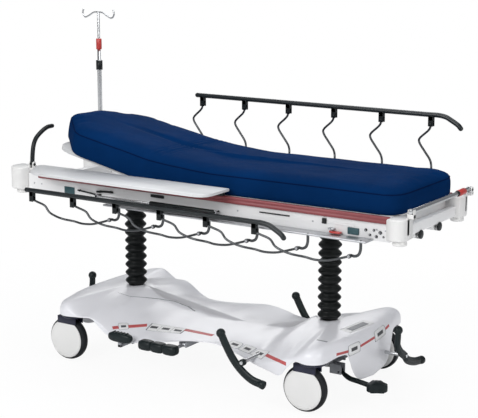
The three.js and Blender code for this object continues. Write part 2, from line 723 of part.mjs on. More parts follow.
// A corner block with one rounded outer edge, its disc pad and its fittings.
function cornerBlock(corner) {
  const block = corner.x > 0 ? cornerFoot : cornerHead;
  const x = block.x;
  const y = mirrored(block.y, corner.y);
  const outerX = corner.x > 0 ? x[1] : x[0];
  const innerX = corner.x > 0 ? x[0] : x[1];
  const outerY = corner.y > 0 ? y[1] : y[0];
  const innerY = corner.y > 0 ? y[0] : y[1];
  const outline = [[innerX, innerY], [outerX, innerY]];
  for (let i = 0; i <= cushionArc; i += 1) {
    const angle = Math.PI / 2 * i / cushionArc;
    outline.push([
      outerX - corner.x * cornerRound * (1 - Math.cos(angle)),
      outerY - corner.y * cornerRound * (1 - Math.sin(angle)),
    ]);
  }
  outline.push([innerX, outerY]);
  const pad = [(x[0] + x[1]) / 2, (y[0] + y[1]) / 2];
  const parts = [
    plate(outline, block.z),
    bar(cornerPad.radius, [...pad, cornerPad.z[0]], [...pad, cornerPad.z[1]]),
  ];
  if (corner.name === 'far_head') {
    for (const side of ends) {
      const cheek = mirrored([ear.inner, ear.outer], side);
      const span = [poleFoot.x + cheek[0], poleFoot.x + cheek[1]];
      parts.push(bar(ear.radius, [span[0], poleFoot.y, poleFoot.z], [span[1], poleFoot.y, poleFoot.z]));
      parts.push(slab({
        x: span, y: [poleFoot.y - ear.radius, poleFoot.y + ear.radius],
        z: [block.z[1] - ear.plate, poleFoot.z],
      }));
    }
    parts.push(bar(earPin, [poleFoot.x - ear.outer, poleFoot.y, poleFoot.z],
      [poleFoot.x + ear.outer, poleFoot.y, poleFoot.z], smallSides));
  }
  if (corner.name === 'far_foot') {
    parts.push(slab({ ...stowPlate, y: [stowed.y - stowEarY, stowed.y + stowEarY] }));
    parts.push(slab({
      x: [stowPlate.x[0], stowPlate.x[0] + ear.plate],
      y: [stowed.y - stowEarY, stowed.y + stowEarY], z: [cornerFoot.z[0], stowPlate.z[1]],
    }));
    for (const side of ends) {
      const cheek = mirrored([ear.inner, ear.outer], side);
      const span = [stowed.x + cheek[0], stowed.x + cheek[1]];
      parts.push(bar(ear.radius, [span[0], stowed.y, stowed.z], [span[1], stowed.y, stowed.z]));
      parts.push(slab({
        x: span, y: [stowed.y - ear.radius, stowed.y + ear.radius],
        z: [stowPlate.z[1] - ear.plate, stowed.z],
      }));
    }
    parts.push(bar(earPin, [stowed.x - ear.outer, stowed.y, stowed.z],
      [stowed.x + ear.outer, stowed.y, stowed.z], smallSides));
  }
  if (corner.name === 'near_foot') {
    parts.push(slab({ x: stowPlate.x, y: clipY, z: [stowPlate.z[0], clipPlateTop] }));
    parts.push(slab({
      x: [stowPlate.x[0], stowPlate.x[0] + ear.plate], y: clipY, z: [cornerFoot.z[0], clipPlateTop],
    }));
    for (const side of ends) {
      const cheek = mirrored([clipArm.inner, clipArm.outer], side);
      parts.push(slab({
        x: [stowed.x + cheek[0], stowed.x + cheek[1]], y: clipY, z: [stowPlate.z[0], stowed.z + clipArm.rise],
      }));
    }
  }
  if (corner.name === 'near_head') {
    parts.push(slab(handlePlate));
    for (const side of ends) {
      const cheek = mirrored([ear.inner, ear.outer], side);
      const span = [handle.x + cheek[0], handle.x + cheek[1]];
      parts.push(bar(handle.eye, [span[0], handle.y, handle.z], [span[1], handle.y, handle.z]));
      parts.push(slab({
        x: span, y: [handle.y - handle.eye, handle.y + handle.eye], z: [handlePlate.z[0], handle.z],
      }));
    }
    parts.push(bar(earPin, [handle.x - ear.outer, handle.y, handle.z],
      [handle.x + ear.outer, handle.y, handle.z], smallSides));
  }
  return join(parts);
}

for (const corner of corners) addNode(`${corner.name}_corner_block`, cornerBlock(corner), paint.dark);

// Backrest deck

// Turns a solid modelled flat about the backrest hinge to its raised rest position.
function raised(solid) {
  const degrees = THREE.MathUtils.radToDeg(restTilt);
  return solid.translate([-hinge.x, 0, -hinge.z]).rotate([0, degrees, 0])
    .translate([hinge.x, 0, hinge.z]);
}

function backDeck() {
  const start = 2 * hinge.x - seatDeck.x[0] - fit;
  const head = hinge.x - backReach;
  const outline = [[start, -backHalf], [start, backHalf]];
  for (const side of ends) {
    for (let i = 0; i <= cushionArc; i += 1) {
      const turn = side > 0 ? i : cushionArc - i;
      const angle = Math.PI / 2 * turn / cushionArc;
      outline.push([
        head + backCorner * (1 - Math.sin(angle)), side * (backHalf - backCorner * (1 - Math.cos(angle))),
      ]);
    }
  }
  const parts = [plate(outline.reverse(), deckZ)];
  for (const side of ends) {
    parts.push(slab({ ...backRib, y: mirrored(backRib.y, side) }));
    const knuckle = mirrored(backKnuckleY, side);
    parts.push(bar(hinge.knuckle, [hinge.x, knuckle[0], hinge.z], [hinge.x, knuckle[1], hinge.z]));
    parts.push(slab({ x: [start - hinge.knuckle, hinge.x], y: knuckle, z: deckZ }));
  }
  const bore = bar(turningBore(hinge.pin, roundSides), [hinge.x, -hinge.half, hinge.z],
    [hinge.x, hinge.half, hinge.z]);
  return raised(join(parts).subtract(bore));
}

addNode('back_deck', backDeck(), paint.board);

// Mattress, in two parts that part on a V over the hinge

function cushionOutline(from, to, fromCorner, toCorner, inset) {
  const outline = [];
  const places = [
    [to, -1, toCorner, 1], [to, 1, toCorner, 0], [from, 1, fromCorner, 1], [from, -1, fromCorner, 0],
  ];
  places.forEach(([x, side, corner, reverse]) => {
    const radius = Math.max(corner - inset, corner * cushionCorner.leastShare);
    const inward = x === to ? -1 : 1;
    for (let i = 0; i <= cushionArc; i += 1) {
      const turn = reverse ? i : cushionArc - i;
      const angle = Math.PI / 2 * turn / cushionArc;
      const edgeX = x + inward * inset;
      const edgeY = side * (cushion.half - inset);
      outline.push([
        edgeX + inward * radius * (1 - Math.sin(angle)), edgeY - side * radius * (1 - Math.cos(angle)),
      ]);
    }
  });
  return outline;
}

function cushionSolid(from, to, fromCorner, toCorner) {
  return skinned(cushionRings.map(([height, inset]) => {
    const outline = cushionOutline(from, to, fromCorner, toCorner, inset);
    return outline.map((p) => [p[0], p[1], cushion.z + height]);
  }));
}

// A large block whose one face passes the hinge line, leaning by the given angle.
function foldCutter(lean, side) {
  const block = slab({
    x: side > 0 ? [-cutReach, foldGap] : [-foldGap, cutReach],
    y: [-cutReach, cutReach], z: [-cutReach, cutReach],
  });
  return block.rotate([0, side * lean, 0]).translate([hinge.x, 0, hinge.z]);
}

const seatCushion = cushionSolid(
  hinge.x - cushionOverrun, cushion.foot, cushionCorner.hinge, cushionCorner.foot)
  .subtract(foldCutter(foldLeanAngle, 1));
addNode('mattress_seat', seatCushion, paint.navy);
const backCushion = cushionSolid(
  hinge.x - cushionReach, hinge.x + cushionOverrun, cushionCorner.head, cushionCorner.hinge)
  .subtract(foldCutter(foldLeanAngle, -1));
addNode('mattress_back', raised(backCushion), paint.navy);

function foldSolid() {
  const points = [];
  const [low, high] = foldAngles.map((angle) => THREE.MathUtils.degToRad(angle));
  const steps = foldDipShares.length + 1;
  const place = (radius, angle) => [radius * Math.cos(angle), radius * Math.sin(angle)];
  points.push(place(foldWedge.inner, low), place(foldWedge.outer, low));
  foldDipShares.forEach((dip, i) => {
    points.push(place(foldWedge.outer * dip, low + (high - low) * (i + 1) / steps));
  });
  points.push(place(foldWedge.outer, high), place(foldWedge.inner, high));
  const solid = plate(points, [-foldWedge.half, foldWedge.half]);
  return solid.rotate([90, 0, 0]).translate([hinge.x, 0, hinge.z]);
}

addNode('mattress_fold', foldSolid(), paint.navy);

// Siderails

const isNear = (side) => side < 0;

function spindle(side, index) {
  const path = isNear(side) ? nearRodPath : farRodPath;
  const originX = firstPivotX + index * spindlePitch;
  const points = path.map(([x, z, outer]) => [
    originX + x, side * (outer ? railPlane : innerPlane), pivotZ + z,
  ]);
  const top = points[0];
  const low = points[points.length - 1];
  const eyeAt = (p) => bar(spindleEye.radius, [p[0], p[1] - spindleEye.half, p[2]],
    [p[0], p[1] + spindleEye.half, p[2]], spindleEye.sides);
  const boreAt = (p) => bar(spindleEye.bore, [p[0], p[1] - clevis.yHalf, p[2]],
    [p[0], p[1] + clevis.yHalf, p[2]], spindleEye.sides);
  const rod = bent(points, spindleRod.radius, spindleRod.sides, spindleRod.steps);
  return join([rod, eyeAt(top), eyeAt(low)]).subtract(join([boreAt(top), boreAt(low)]));
}

function topRailSolid(side) {
  const pin = isNear(side) ? loweredPin : raisedPin;
  const x = firstPivotX + pin.x;
  const z = pivotZ + pin.z;
  const y = side * railPlane;
  const axis = z + topRail.rise;
  const bendX = x + topRail.bend;
  const tipX = x + topRail.after;
  const run = tipX - bendX;
  const straight = bar(topRail.radius, [x - topRail.before, y, axis], [bendX, y, axis], topRail.sides);
  const curve = bent([
    [bendX - topRail.radius, y, axis], [bendX, y, axis],
    [bendX + run / 2, y, axis - topRail.drop / 4],
    [bendX + run * topRail.lateShare, y, axis - topRail.drop * topRail.lateDropShare],
    [tipX, y, axis - topRail.drop],
  ], topRail.radius, topRail.sides, topRail.steps);
  const parts = [straight, curve];
  const cuts = [];
  for (let i = 0; i < spindleCount; i += 1) {
    const pinX = x + i * spindlePitch;
    parts.push(slab({
      x: [pinX - clevis.half, pinX + clevis.half], y: [y - clevis.yHalf, y + clevis.yHalf],
      z: [z - clevis.below, axis],
    }));
    cuts.push(slab({
      x: [pinX - clevis.half - fit, pinX + clevis.half + fit],
      y: [y - clevis.slotHalf, y + clevis.slotHalf],
      z: [z - clevis.open, z + clevis.slotTop],
    }));
  }
  const pins = [];
  for (let i = 0; i < spindleCount; i += 1) {
    const pinX = x + i * spindlePitch;
    pins.push(bar(railPin, [pinX, y - clevis.yHalf + fit, z], [pinX, y + clevis.yHalf - fit, z],
      spindleEye.sides));
  }
  return join(parts).subtract(join(cuts)).add(join(pins));
}

function pivotRail(side) {
  const parts = [slab({ ...pivotBar, y: mirrored(pivotBar.y, side) })];
  for (let i = 0; i < spindleCount; i += 1) {
    const x = firstPivotX + i * spindlePitch;
    const y = side * hangerPlane;
    parts.push(bent(hanger.path.map((p) => [x + p[0], y, p[1]]), hanger.half, hanger.sides, hanger.steps));
    parts.push(bar(railPin, [x, y, pivotZ], [x, side * (innerPlane + spindleEye.half + weldOverlap), pivotZ],
      spindleEye.sides));
  }
  return join(parts);
}

for (const side of [-1, 1]) {
  const name = isNear(side) ? 'near' : 'far';
  addNode(`${name}_pivot_rail`, pivotRail(side), paint.chrome);
  addNode(`${name}_top_rail`, topRailSolid(side), paint.dark);
  for (let i = 0; i < spindleCount; i += 1) {
    addNode(`${name}_spindle_${i + 1}`, spindle(side, i), paint.chrome);
  }
}

// Drip poles

const upright = (radius, z, sides) => bar(
  radius, [poleFoot.x, poleFoot.y, poleFoot.z + z[0]], [poleFoot.x, poleFoot.y, poleFoot.z + z[1]], sides);

const eyeSpan = [poleFoot.x - poleEye.half, poleFoot.x + poleEye.half];
const poleBaseSolid = join([
  upright(poleBase.outer, poleBase.z, roundSides), upright(poleCollar.radius, poleCollar.z, roundSides),
  bar(poleEye.radius, [eyeSpan[0], poleFoot.y, poleFoot.z], [eyeSpan[1], poleFoot.y, poleFoot.z]),
  slab({
    x: [poleFoot.x - poleEye.tongue, poleFoot.x + poleEye.tongue],
    y: [poleFoot.y - poleEye.neck, poleFoot.y + poleEye.neck],
    z: [poleFoot.z + poleEye.bore, poleFoot.z + poleBase.z[0] + poleEye.neck],
  }),
]).subtract(join([
  upright(poleBase.bore, [poleBase.boreFrom, poleTop.z[1]], roundSides),
  bar(poleEye.bore, [eyeSpan[0] - poleEye.neck, poleFoot.y, poleFoot.z],
    [eyeSpan[1] + poleEye.neck, poleFoot.y, poleFoot.z]),
]));
addNode('drip_pole_base', poleBaseSolid, paint.chrome);

const poleMidSolid = join([
  upright(poleMid.outer, poleMid.z, roundSides), upright(poleGrip.radius, poleGrip.z, roundSides),
]).subtract(upright(poleMid.bore, [poleMid.boreFrom, poleTop.z[1]], roundSides));
addNode('drip_pole_middle', poleMidSolid, paint.chrome);

const hooks = bent(hookPath.map((p) => [poleFoot.x + p[0], poleFoot.y, poleFoot.z + p[1]]),
  hookWire.radius, hookWire.sides, hookWire.steps);
addNode('drip_pole_top', join([upright(poleTop.radius, poleTop.z, smallSides), hooks]), paint.chrome);

const lying = (radius, span) => bar(radius, [stowed.x, span[0], stowed.z], [stowed.x, span[1], stowed.z]);
const stowedEye = [stowed.x - poleEye.half, stowed.x + poleEye.half];
const stowedSolid = join([
  lying(stowed.radius, [stowed.from, stowed.to]), lying(stowed.collarRadius, stowed.collar),
  lying(stowed.ringRadius, stowed.ring), lying(stowed.coreRadius, [stowed.ring[0], stowed.collar[1]]),
  bar(poleEye.radius, [stowedEye[0], stowed.y, stowed.z], [stowedEye[1], stowed.y, stowed.z]),
  slab({
    x: [stowed.x - poleEye.tongue, stowed.x + poleEye.tongue],
    y: [stowed.from - poleEye.neck, stowed.y - poleEye.bore],
    z: [stowed.z - poleEye.neck, stowed.z + poleEye.neck],
  }),
]).subtract(bar(poleEye.bore, [stowedEye[0] - poleEye.neck, stowed.y, stowed.z],
  [stowedEye[1] + poleEye.neck, stowed.y, stowed.z]));
addNode('stowed_drip_pole', stowedSolid, paint.chrome);

// Push handle

const handleSpan = [handle.x - poleEye.half, handle.x + poleEye.half];
const handleNeck = Math.hypot(handle.eye, handle.radius);
const handlePoints = handle.path.map((p) => [handle.x, handle.y + p[0], handle.z + p[1]]);
const handleSolid = join([
  bent(handlePoints, handle.radius, handle.sides, handle.steps),
  bar(handle.eye, [handleSpan[0], handle.y, handle.z], [handleSpan[1], handle.y, handle.z]),
  ball(handle.radius, handlePoints[handlePoints.length - 1]),
]).subtract(join([
  bar(poleEye.bore, [handleSpan[0] - ear.outer, handle.y, handle.z],
    [handleSpan[1] + ear.outer, handle.y, handle.z]),
  ...ends.map((side) => {
    const cheek = mirrored([poleEye.half, ear.outer + ear.inner], side);
    return bar(turningBore(handleNeck, roundSides), [handle.x + cheek[0], handle.y, handle.z],
      [handle.x + cheek[1], handle.y, handle.z]);
  }),
]));
addNode('near_push_handle', handleSolid, paint.dark);

// Side board, gas spring and latch

const boardShape = boardOutline.map((p) => [p[0], -p[1]]);
const boardParts = [plate(boardShape, boardZ)];
for (const x of boardFoot.x) {
  boardParts.push(slab({
    x: [x - boardFoot.half, x + boardFoot.half], y: mirrored(boardFoot.y, -1), z: boardFoot.z,
  }));
}
addNode('side_board', join(boardParts), paint.board);

const springEye = (x) => bar(spring.eye, [x, -spring.y - spring.eyeHalf, spring.z],
  [x, -spring.y + spring.eyeHalf, spring.z]);
const springBore = (x) => bar(spring.bore, [x, -spring.y - spring.eye * 2, spring.z],
  [x, -spring.y + spring.eye * 2, spring.z]);
const springSolid = join([
  bar(spring.rod, [spring.rodX[0], -spring.y, spring.z], [spring.rodX[1], -spring.y, spring.z], smallSides),
  bar(spring.body, [spring.bodyX[0], -spring.y, spring.z], [spring.bodyX[1], -spring.y, spring.z]),
  springEye(spring.rodX[0]), springEye(spring.bodyX[1]),
]).subtract(join([springBore(spring.rodX[0]), springBore(spring.bodyX[1])]));
addNode('backrest_gas_spring', springSolid, paint.dark);

const latchY = -(latch.y[0] + latch.eye);
const latchSolid = join([
  slab({ x: latch.x, y: mirrored(latch.y, -1), z: latch.z }),
  bar(latch.eye, [latch.eyeX, latchY, latch.z[0]], [latch.eyeX, latchY, latch.z[1]]),
]).subtract(bar(turningBore(latch.pin, smallSides), [latch.eyeX, latchY, pivotZ],
  [latch.eyeX, latchY, boardZ[0]], smallSides));
addNode('near_rail_latch', latchSolid, paint.red);

// Steering levers and pedals

function leverSolid(path, place, across) {
  const points = path.map(place);
  const end = points[points.length - 1];
  const before = points[points.length - 2];
  const reach = new THREE.Vector3(...end).sub(new THREE.Vector3(...before)).normalize();
  const tip = new THREE.Vector3(...end).addScaledVector(reach, leverPad.radius);
  const hub = place([0, 0]);
  const shiftBy = (p, amount) => p.map((value, k) => value + across[k] * amount);
  const parts = [
    bent(points, leverBar.radius, leverBar.sides, leverBar.steps, leverBar.breadth),
    ball(leverKnob, points[0]), bar(leverPad.radius, end, [tip.x, tip.y, tip.z], ballSides),
    bar(leverHub.radius, shiftBy(hub, -leverHub.half), shiftBy(hub, leverHub.half)),
  ];
  return { parts, hub, shiftBy };
}

function finishLever({ parts, hub, shiftBy }) {
  const bore = bar(leverHub.bore, shiftBy(hub, -leverHub.radius * 2), shiftBy(hub, leverHub.radius * 2));
  return join(parts).subtract(bore);
}

function sideSteerLever(pivot) {
  const place = (p) => [pivot[0] + p[0], pivot[1], pivot[2] + p[1]];
  const lever = leverSolid(sideLever, place, [0, 1, 0]);
  lever.parts.push(bar(leverBar.radius * leverPad.flatten, place(sideWeb[0]), place(sideWeb[1])));
  return finishLever(lever);
}

function endSteerLever(side) {
  const place = (p) => [side * endLeverX, endShaft.y + p[0], endShaft.z + p[1]];
  return finishLever(leverSolid(endLever, place, [1, 0, 0]));
}

addNode('near_steer_lever', sideSteerLever([sideShaft.x, sideLeverY, sideShaft.z]), paint.green);
addNode('far_steer_lever', sideSteerLever([farShaft.x, farLeverY, farShaft.z]), paint.green);
addNode('foot_steer_lever', endSteerLever(1), paint.green);
addNode('head_steer_lever', endSteerLever(-1), paint.green);

const alongX = (x, half, y, z, radius, sides) => bar(radius, [x - half, y, z], [x + half, y, z], sides);

function footPedalSolid() {
  const { x, y, z } = footPedal;
  const [bend, tip, pad] = [footPedal.bend, footPedal.tip, footPedal.pad];
  const half = footPedal.padThickness / 2;
  const parts = [
    bar(pedalEye.radius, [x, y - pedalEye.half, z], [x, y + pedalEye.half, z], smallSides),
    bar(pedalArmHalf, [x, y, z], [bend[0], y, bend[1]], smallSides),
    bar(footPedal.arm, [bend[0], y, bend[1]], [tip[0], y, tip[1]], smallSides),
    ball(footPedal.arm, [bend[0], y, bend[1]]),
  ];
  for (let i = 0; i < footPedal.lobes; i += 1) {
    const angle = twoPi * i / footPedal.lobes;
    const centre = [
      pad[0] + footPedal.lobeReach * Math.cos(angle), y + footPedal.lobeReach * Math.sin(angle),
    ];
    parts.push(bar(footPedal.lobe, [...centre, pad[1] - half], [...centre, pad[1] + half], padSides));
  }
  const bore = bar(pedalEye.bore, [x, y - pedalEye.radius * 2, z], [x, y + pedalEye.radius * 2, z],
    smallSides);
  return join(parts).subtract(bore);
}

addNode('foot_pump_pedal', footPedalSolid(), paint.green);

function ovalPad(centre, half) {
  const geometry = new THREE.SphereGeometry(1, padSides, padSides / 2);
  geometry.scale(...half);
  geometry.translate(...centre);
  return solidOf(geometry);
}

function brakePedalSolid() {
  const { x, z, padY, padZ } = brakePedal;
  const low = [z - pedalArmHalf, z + pedalArmHalf / 2];
  const parts = [
    ovalPad([x, padY, padZ], brakePedal.padHalf),
    slab({ x: [x - pedalArmHalf, x + pedalArmHalf], y: [padY - pedalArmHalf, padY + pedalArmHalf / 2],
      z: [low[0], padZ] }),
    slab({ x: [x - pedalArmHalf, x + pedalArmHalf], y: [padY - pedalArmHalf, sidePedalPivotY], z: low }),
    alongX(x, pedalEye.half, sidePedalPivotY, z, pedalEye.radius, smallSides),
  ];
  return join(parts).subtract(alongX(x, pedalCheek.outer, sidePedalPivotY, z, pedalEye.bore, smallSides));
}

addNode('near_pump_pedal', brakePedalSolid(), paint.green);

function releasePedalSolid() {
  const { x, z, padX, padY, padZ } = releasePedal;
  const half = releasePedal.padHalf;
  const parts = [
    slab({
      x: [x - pedalArmHalf, x + pedalArmHalf], y: [padY, sidePedalPivotY],
      z: [z - pedalArmHalf / 2, z + pedalArmHalf / 2],
    }),
    alongX(x, pedalEye.half, sidePedalPivotY, z, pedalEye.radius, smallSides),
    slab({
      x: [padX - half[0], padX + half[0]], y: [padY - half[1] * treadShare, padY + half[1] * treadShare],
      z: [padZ - half[2], padZ + half[2] * treadShare],
    }),
  ];
  for (let i = 0; i < releasePedal.lobes; i += 1) {
    const step = half[0] / releasePedal.lobes;
    const centre = [padX - half[0] + step + (step + step) * i, padY, padZ];
    parts.push(ovalPad(centre, [step * releasePedal.lobeShare, half[1], half[2] * releasePedal.lobeShare]));
  }
  return join(parts).subtract(alongX(x, pedalCheek.outer, sidePedalPivotY, z, pedalEye.bore, smallSides));
}

addNode('near_release_pedal', releasePedalSolid(), paint.green);

group.position.set(centringShift.x, centringShift.y, 0);

export default group;
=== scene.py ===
import math

import bmesh
import bpy
import numpy as np
from mathutils import Matrix, Vector
from mathutils import noise
from mathutils.bvhtree import BVHTree


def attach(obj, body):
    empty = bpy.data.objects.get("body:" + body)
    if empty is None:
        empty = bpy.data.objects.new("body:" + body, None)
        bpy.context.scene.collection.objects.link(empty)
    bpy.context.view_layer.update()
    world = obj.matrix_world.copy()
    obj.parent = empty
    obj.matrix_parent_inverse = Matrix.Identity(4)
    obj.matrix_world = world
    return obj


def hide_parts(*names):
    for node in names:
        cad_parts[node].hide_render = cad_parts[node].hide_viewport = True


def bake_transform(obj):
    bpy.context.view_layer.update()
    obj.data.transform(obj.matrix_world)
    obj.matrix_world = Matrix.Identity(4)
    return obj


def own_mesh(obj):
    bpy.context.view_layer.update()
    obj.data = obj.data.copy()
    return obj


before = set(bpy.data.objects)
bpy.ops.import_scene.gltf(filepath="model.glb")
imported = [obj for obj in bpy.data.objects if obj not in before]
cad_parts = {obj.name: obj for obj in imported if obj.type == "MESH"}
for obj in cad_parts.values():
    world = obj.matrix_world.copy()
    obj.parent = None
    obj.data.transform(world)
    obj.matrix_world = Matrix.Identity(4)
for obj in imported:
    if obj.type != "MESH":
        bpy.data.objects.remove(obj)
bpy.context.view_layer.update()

# The drawing's numbers are millimetres about the middle of the base, as in the part's source.
MM = 0.001
SHIFT = (10.5, 42.0, 0.0)


def at(x, y, z):
    return Vector(((x + SHIFT[0]) * MM, (y + SHIFT[1]) * MM, z * MM))


# Camera at the photograph's viewing angle

FRAME = (478, 418)
FOCAL_PIXELS = 1361.29
SENSOR = 36
SHIFT_X, SHIFT_Y = 0.01333, -0.0040
EYE = at(3344.4, -5049.2, 2029.0)
VIEW = Matrix.Rotation(math.radians(33.336), 3, "Z") @ Matrix.Rotation(math.radians(90 - 11.936), 3, "X")


def make_camera():
    data = bpy.data.cameras.new("camera")
    camera = bpy.data.objects.new("camera", data)
    bpy.context.scene.collection.objects.link(camera)
    camera.location = EYE
    camera.rotation_euler = VIEW.to_euler()
    data.sensor_width = SENSOR
    data.lens = SENSOR * FOCAL_PIXELS / FRAME[0]
    data.shift_x = SHIFT_X
    data.shift_y = SHIFT_Y
    data.clip_end = 100
    bpy.context.scene.camera = camera


def sight(pixel):
    """The direction from the camera through a pixel of the photograph."""
    x = (pixel[0] - FRAME[0] / 2 + SHIFT_X * FRAME[0]) / FOCAL_PIXELS
    y = (FRAME[1] / 2 - pixel[1] + SHIFT_Y * FRAME[0]) / FOCAL_PIXELS
    return (VIEW @ Vector((x, y, -1))).normalized()


make_camera()


# Materials

COAT_ROUGHNESS = 0.15
# The mattress cover's refractive index, kept low against gloss, and the scale of its weave
CLOTH_IOR, THREADS = 1.15, 260.0


def put(node, **values):
    """Sets a node's inputs by name; an underscore stands for a space."""
    for key, value in values.items():
        node.inputs[key.replace("_", " ")].default_value = value
    return node


def node_material(name, color, roughness, metallic=0.0, coat=0.0, specular=0.5):
    """A principled material whose colour, roughness and bump get their detail from nodes."""
    material = bpy.data.materials.new(name)
    material.use_nodes = True
    tree = material.node_tree
    shader = put(tree.nodes["Principled BSDF"], Base_Color=(*color, 1), Roughness=roughness, Metallic=metallic,
                 Coat_Weight=coat, Coat_Roughness=COAT_ROUGHNESS, Specular_IOR_Level=specular)
    return material, tree, shader


def coordinates(tree, scale=(1, 1, 1)):
    place = tree.nodes.new("ShaderNodeTexCoord")
    mapping = put(tree.nodes.new("ShaderNodeMapping"), Scale=scale)
    tree.links.new(place.outputs["Object"], mapping.inputs["Vector"])
    return mapping.outputs["Vector"]


def noise_of(tree, vector, scale, detail=3.0, roughness=0.55):
    texture = put(tree.nodes.new("ShaderNodeTexNoise"), Scale=scale, Detail=detail, Roughness=roughness)
    tree.links.new(vector, texture.inputs["Vector"])
    return texture.outputs["Fac"]


def ramp(tree, value, low, high, low_color, high_color):
    node = tree.nodes.new("ShaderNodeValToRGB")
    node.color_ramp.elements[0].position = low
    node.color_ramp.elements[1].position = high
    node.color_ramp.elements[0].color = (*low_color, 1)
    node.color_ramp.elements[1].color = (*high_color, 1)
    tree.links.new(value, node.inputs["Fac"])
    return node.outputs["Color"]


def span(tree, value, low, high):
    node = put(tree.nodes.new("ShaderNodeMapRange"), To_Min=low, To_Max=high)
    tree.links.new(value, node.inputs["Value"])
    return node.outputs["Result"]


def bump(tree, shader, height, strength, distance=0.001):
    node = put(tree.nodes.new("ShaderNodeBump"), Strength=strength, Distance=distance)
    tree.links.new(height, node.inputs["Height"])
    if shader.inputs["Normal"].is_linked:
        tree.links.new(shader.inputs["Normal"].links[0].from_socket, node.inputs["Normal"])
    tree.links.new(node.outputs["Normal"], shader.inputs["Normal"])


def tint(color, share):
    return tuple(min(1.0, c * share) for c in color)


def moulded(name, color, roughness, coat=0.0, grain=900.0, grain_strength=0.12, wear=0.06, specular=0.5):
    """Moulded plastic or paint: slow colour drift, fine grain and uneven gloss."""
    material, tree, shader = node_material(name, color, roughness, coat=coat, specular=specular)
    vector = coordinates(tree)
    slow = noise_of(tree, vector, 5.0)
    fine = noise_of(tree, vector, grain, 2.0)
    tree.links.new(ramp(tree, slow, 0.3, 0.7, tint(color, 1 - wear), tint(color, 1 + wear / 2)),
                   shader.inputs["Base Color"])
    tree.links.new(span(tree, noise_of(tree, vector, 38.0), roughness * 0.8, roughness * 1.25),
                   shader.inputs["Roughness"])
    bump(tree, shader, fine, grain_strength, 0.0004)
    return material


def metal(name, color, roughness, streak=(1, 1, 1)):
    """Plated or brushed metal with fine streaks and a few dull patches."""
    material, tree, shader = node_material(name, color, roughness, metallic=1.0)
    vector = coordinates(tree, streak)
    streaks = noise_of(tree, vector, 260.0, 4.0, 0.7)
    patches = noise_of(tree, coordinates(tree), 14.0)
    tree.links.new(ramp(tree, patches, 0.25, 0.75, tint(color, 0.84), color), shader.inputs["Base Color"])
    tree.links.new(span(tree, streaks, roughness * 0.7, roughness * 1.6), shader.inputs["Roughness"])
    bump(tree, shader, streaks, 0.05, 0.0003)
    return material


def rubber(name, color, roughness, grain=1400.0):
    material, tree, shader = node_material(name, color, roughness, specular=0.18)
    vector = coordinates(tree)
    dust = noise_of(tree, vector, 22.0, 5.0)
    tree.links.new(ramp(tree, dust, 0.35, 0.8, color, tuple(c * 1.7 + 0.004 for c in color)),
                   shader.inputs["Base Color"])
    tree.links.new(span(tree, dust, roughness * 0.85, roughness * 1.2), shader.inputs["Roughness"])
    bump(tree, shader, noise_of(tree, vector, grain, 2.0), 0.25, 0.0004)
    return material


def woven(name, color):
    """Coated nylon of the mattress cover: a fine weave, a faint gloss and slow colour drift."""
    material, tree, shader = node_material(name, color, 0.62, specular=0.03)
    put(shader, IOR=CLOTH_IOR)
    vector = coordinates(tree)
    slow = noise_of(tree, vector, 3.2, 4.0)
    tree.links.new(ramp(tree, slow, 0.3, 0.72, tint(color, 0.82), tint(color, 1.14)),
                   shader.inputs["Base Color"])
    tree.links.new(span(tree, noise_of(tree, vector, 60.0), 0.55, 0.7), shader.inputs["Roughness"])
    threads = []
    for axis in ("X", "Y", "Z"):
        wave = tree.nodes.new("ShaderNodeTexWave")
        wave.wave_type = "BANDS"
        wave.bands_direction = axis
        put(wave, Scale=THREADS, Distortion=0.4)
        tree.links.new(vector, wave.inputs["Vector"])
        threads.append(wave.outputs["Fac"])
    for thread in threads:
        bump(tree, shader, thread, 0.1, 0.0003)
    bump(tree, shader, noise_of(tree, vector, 26.0, 3.0), 0.12, 0.004)
    return material


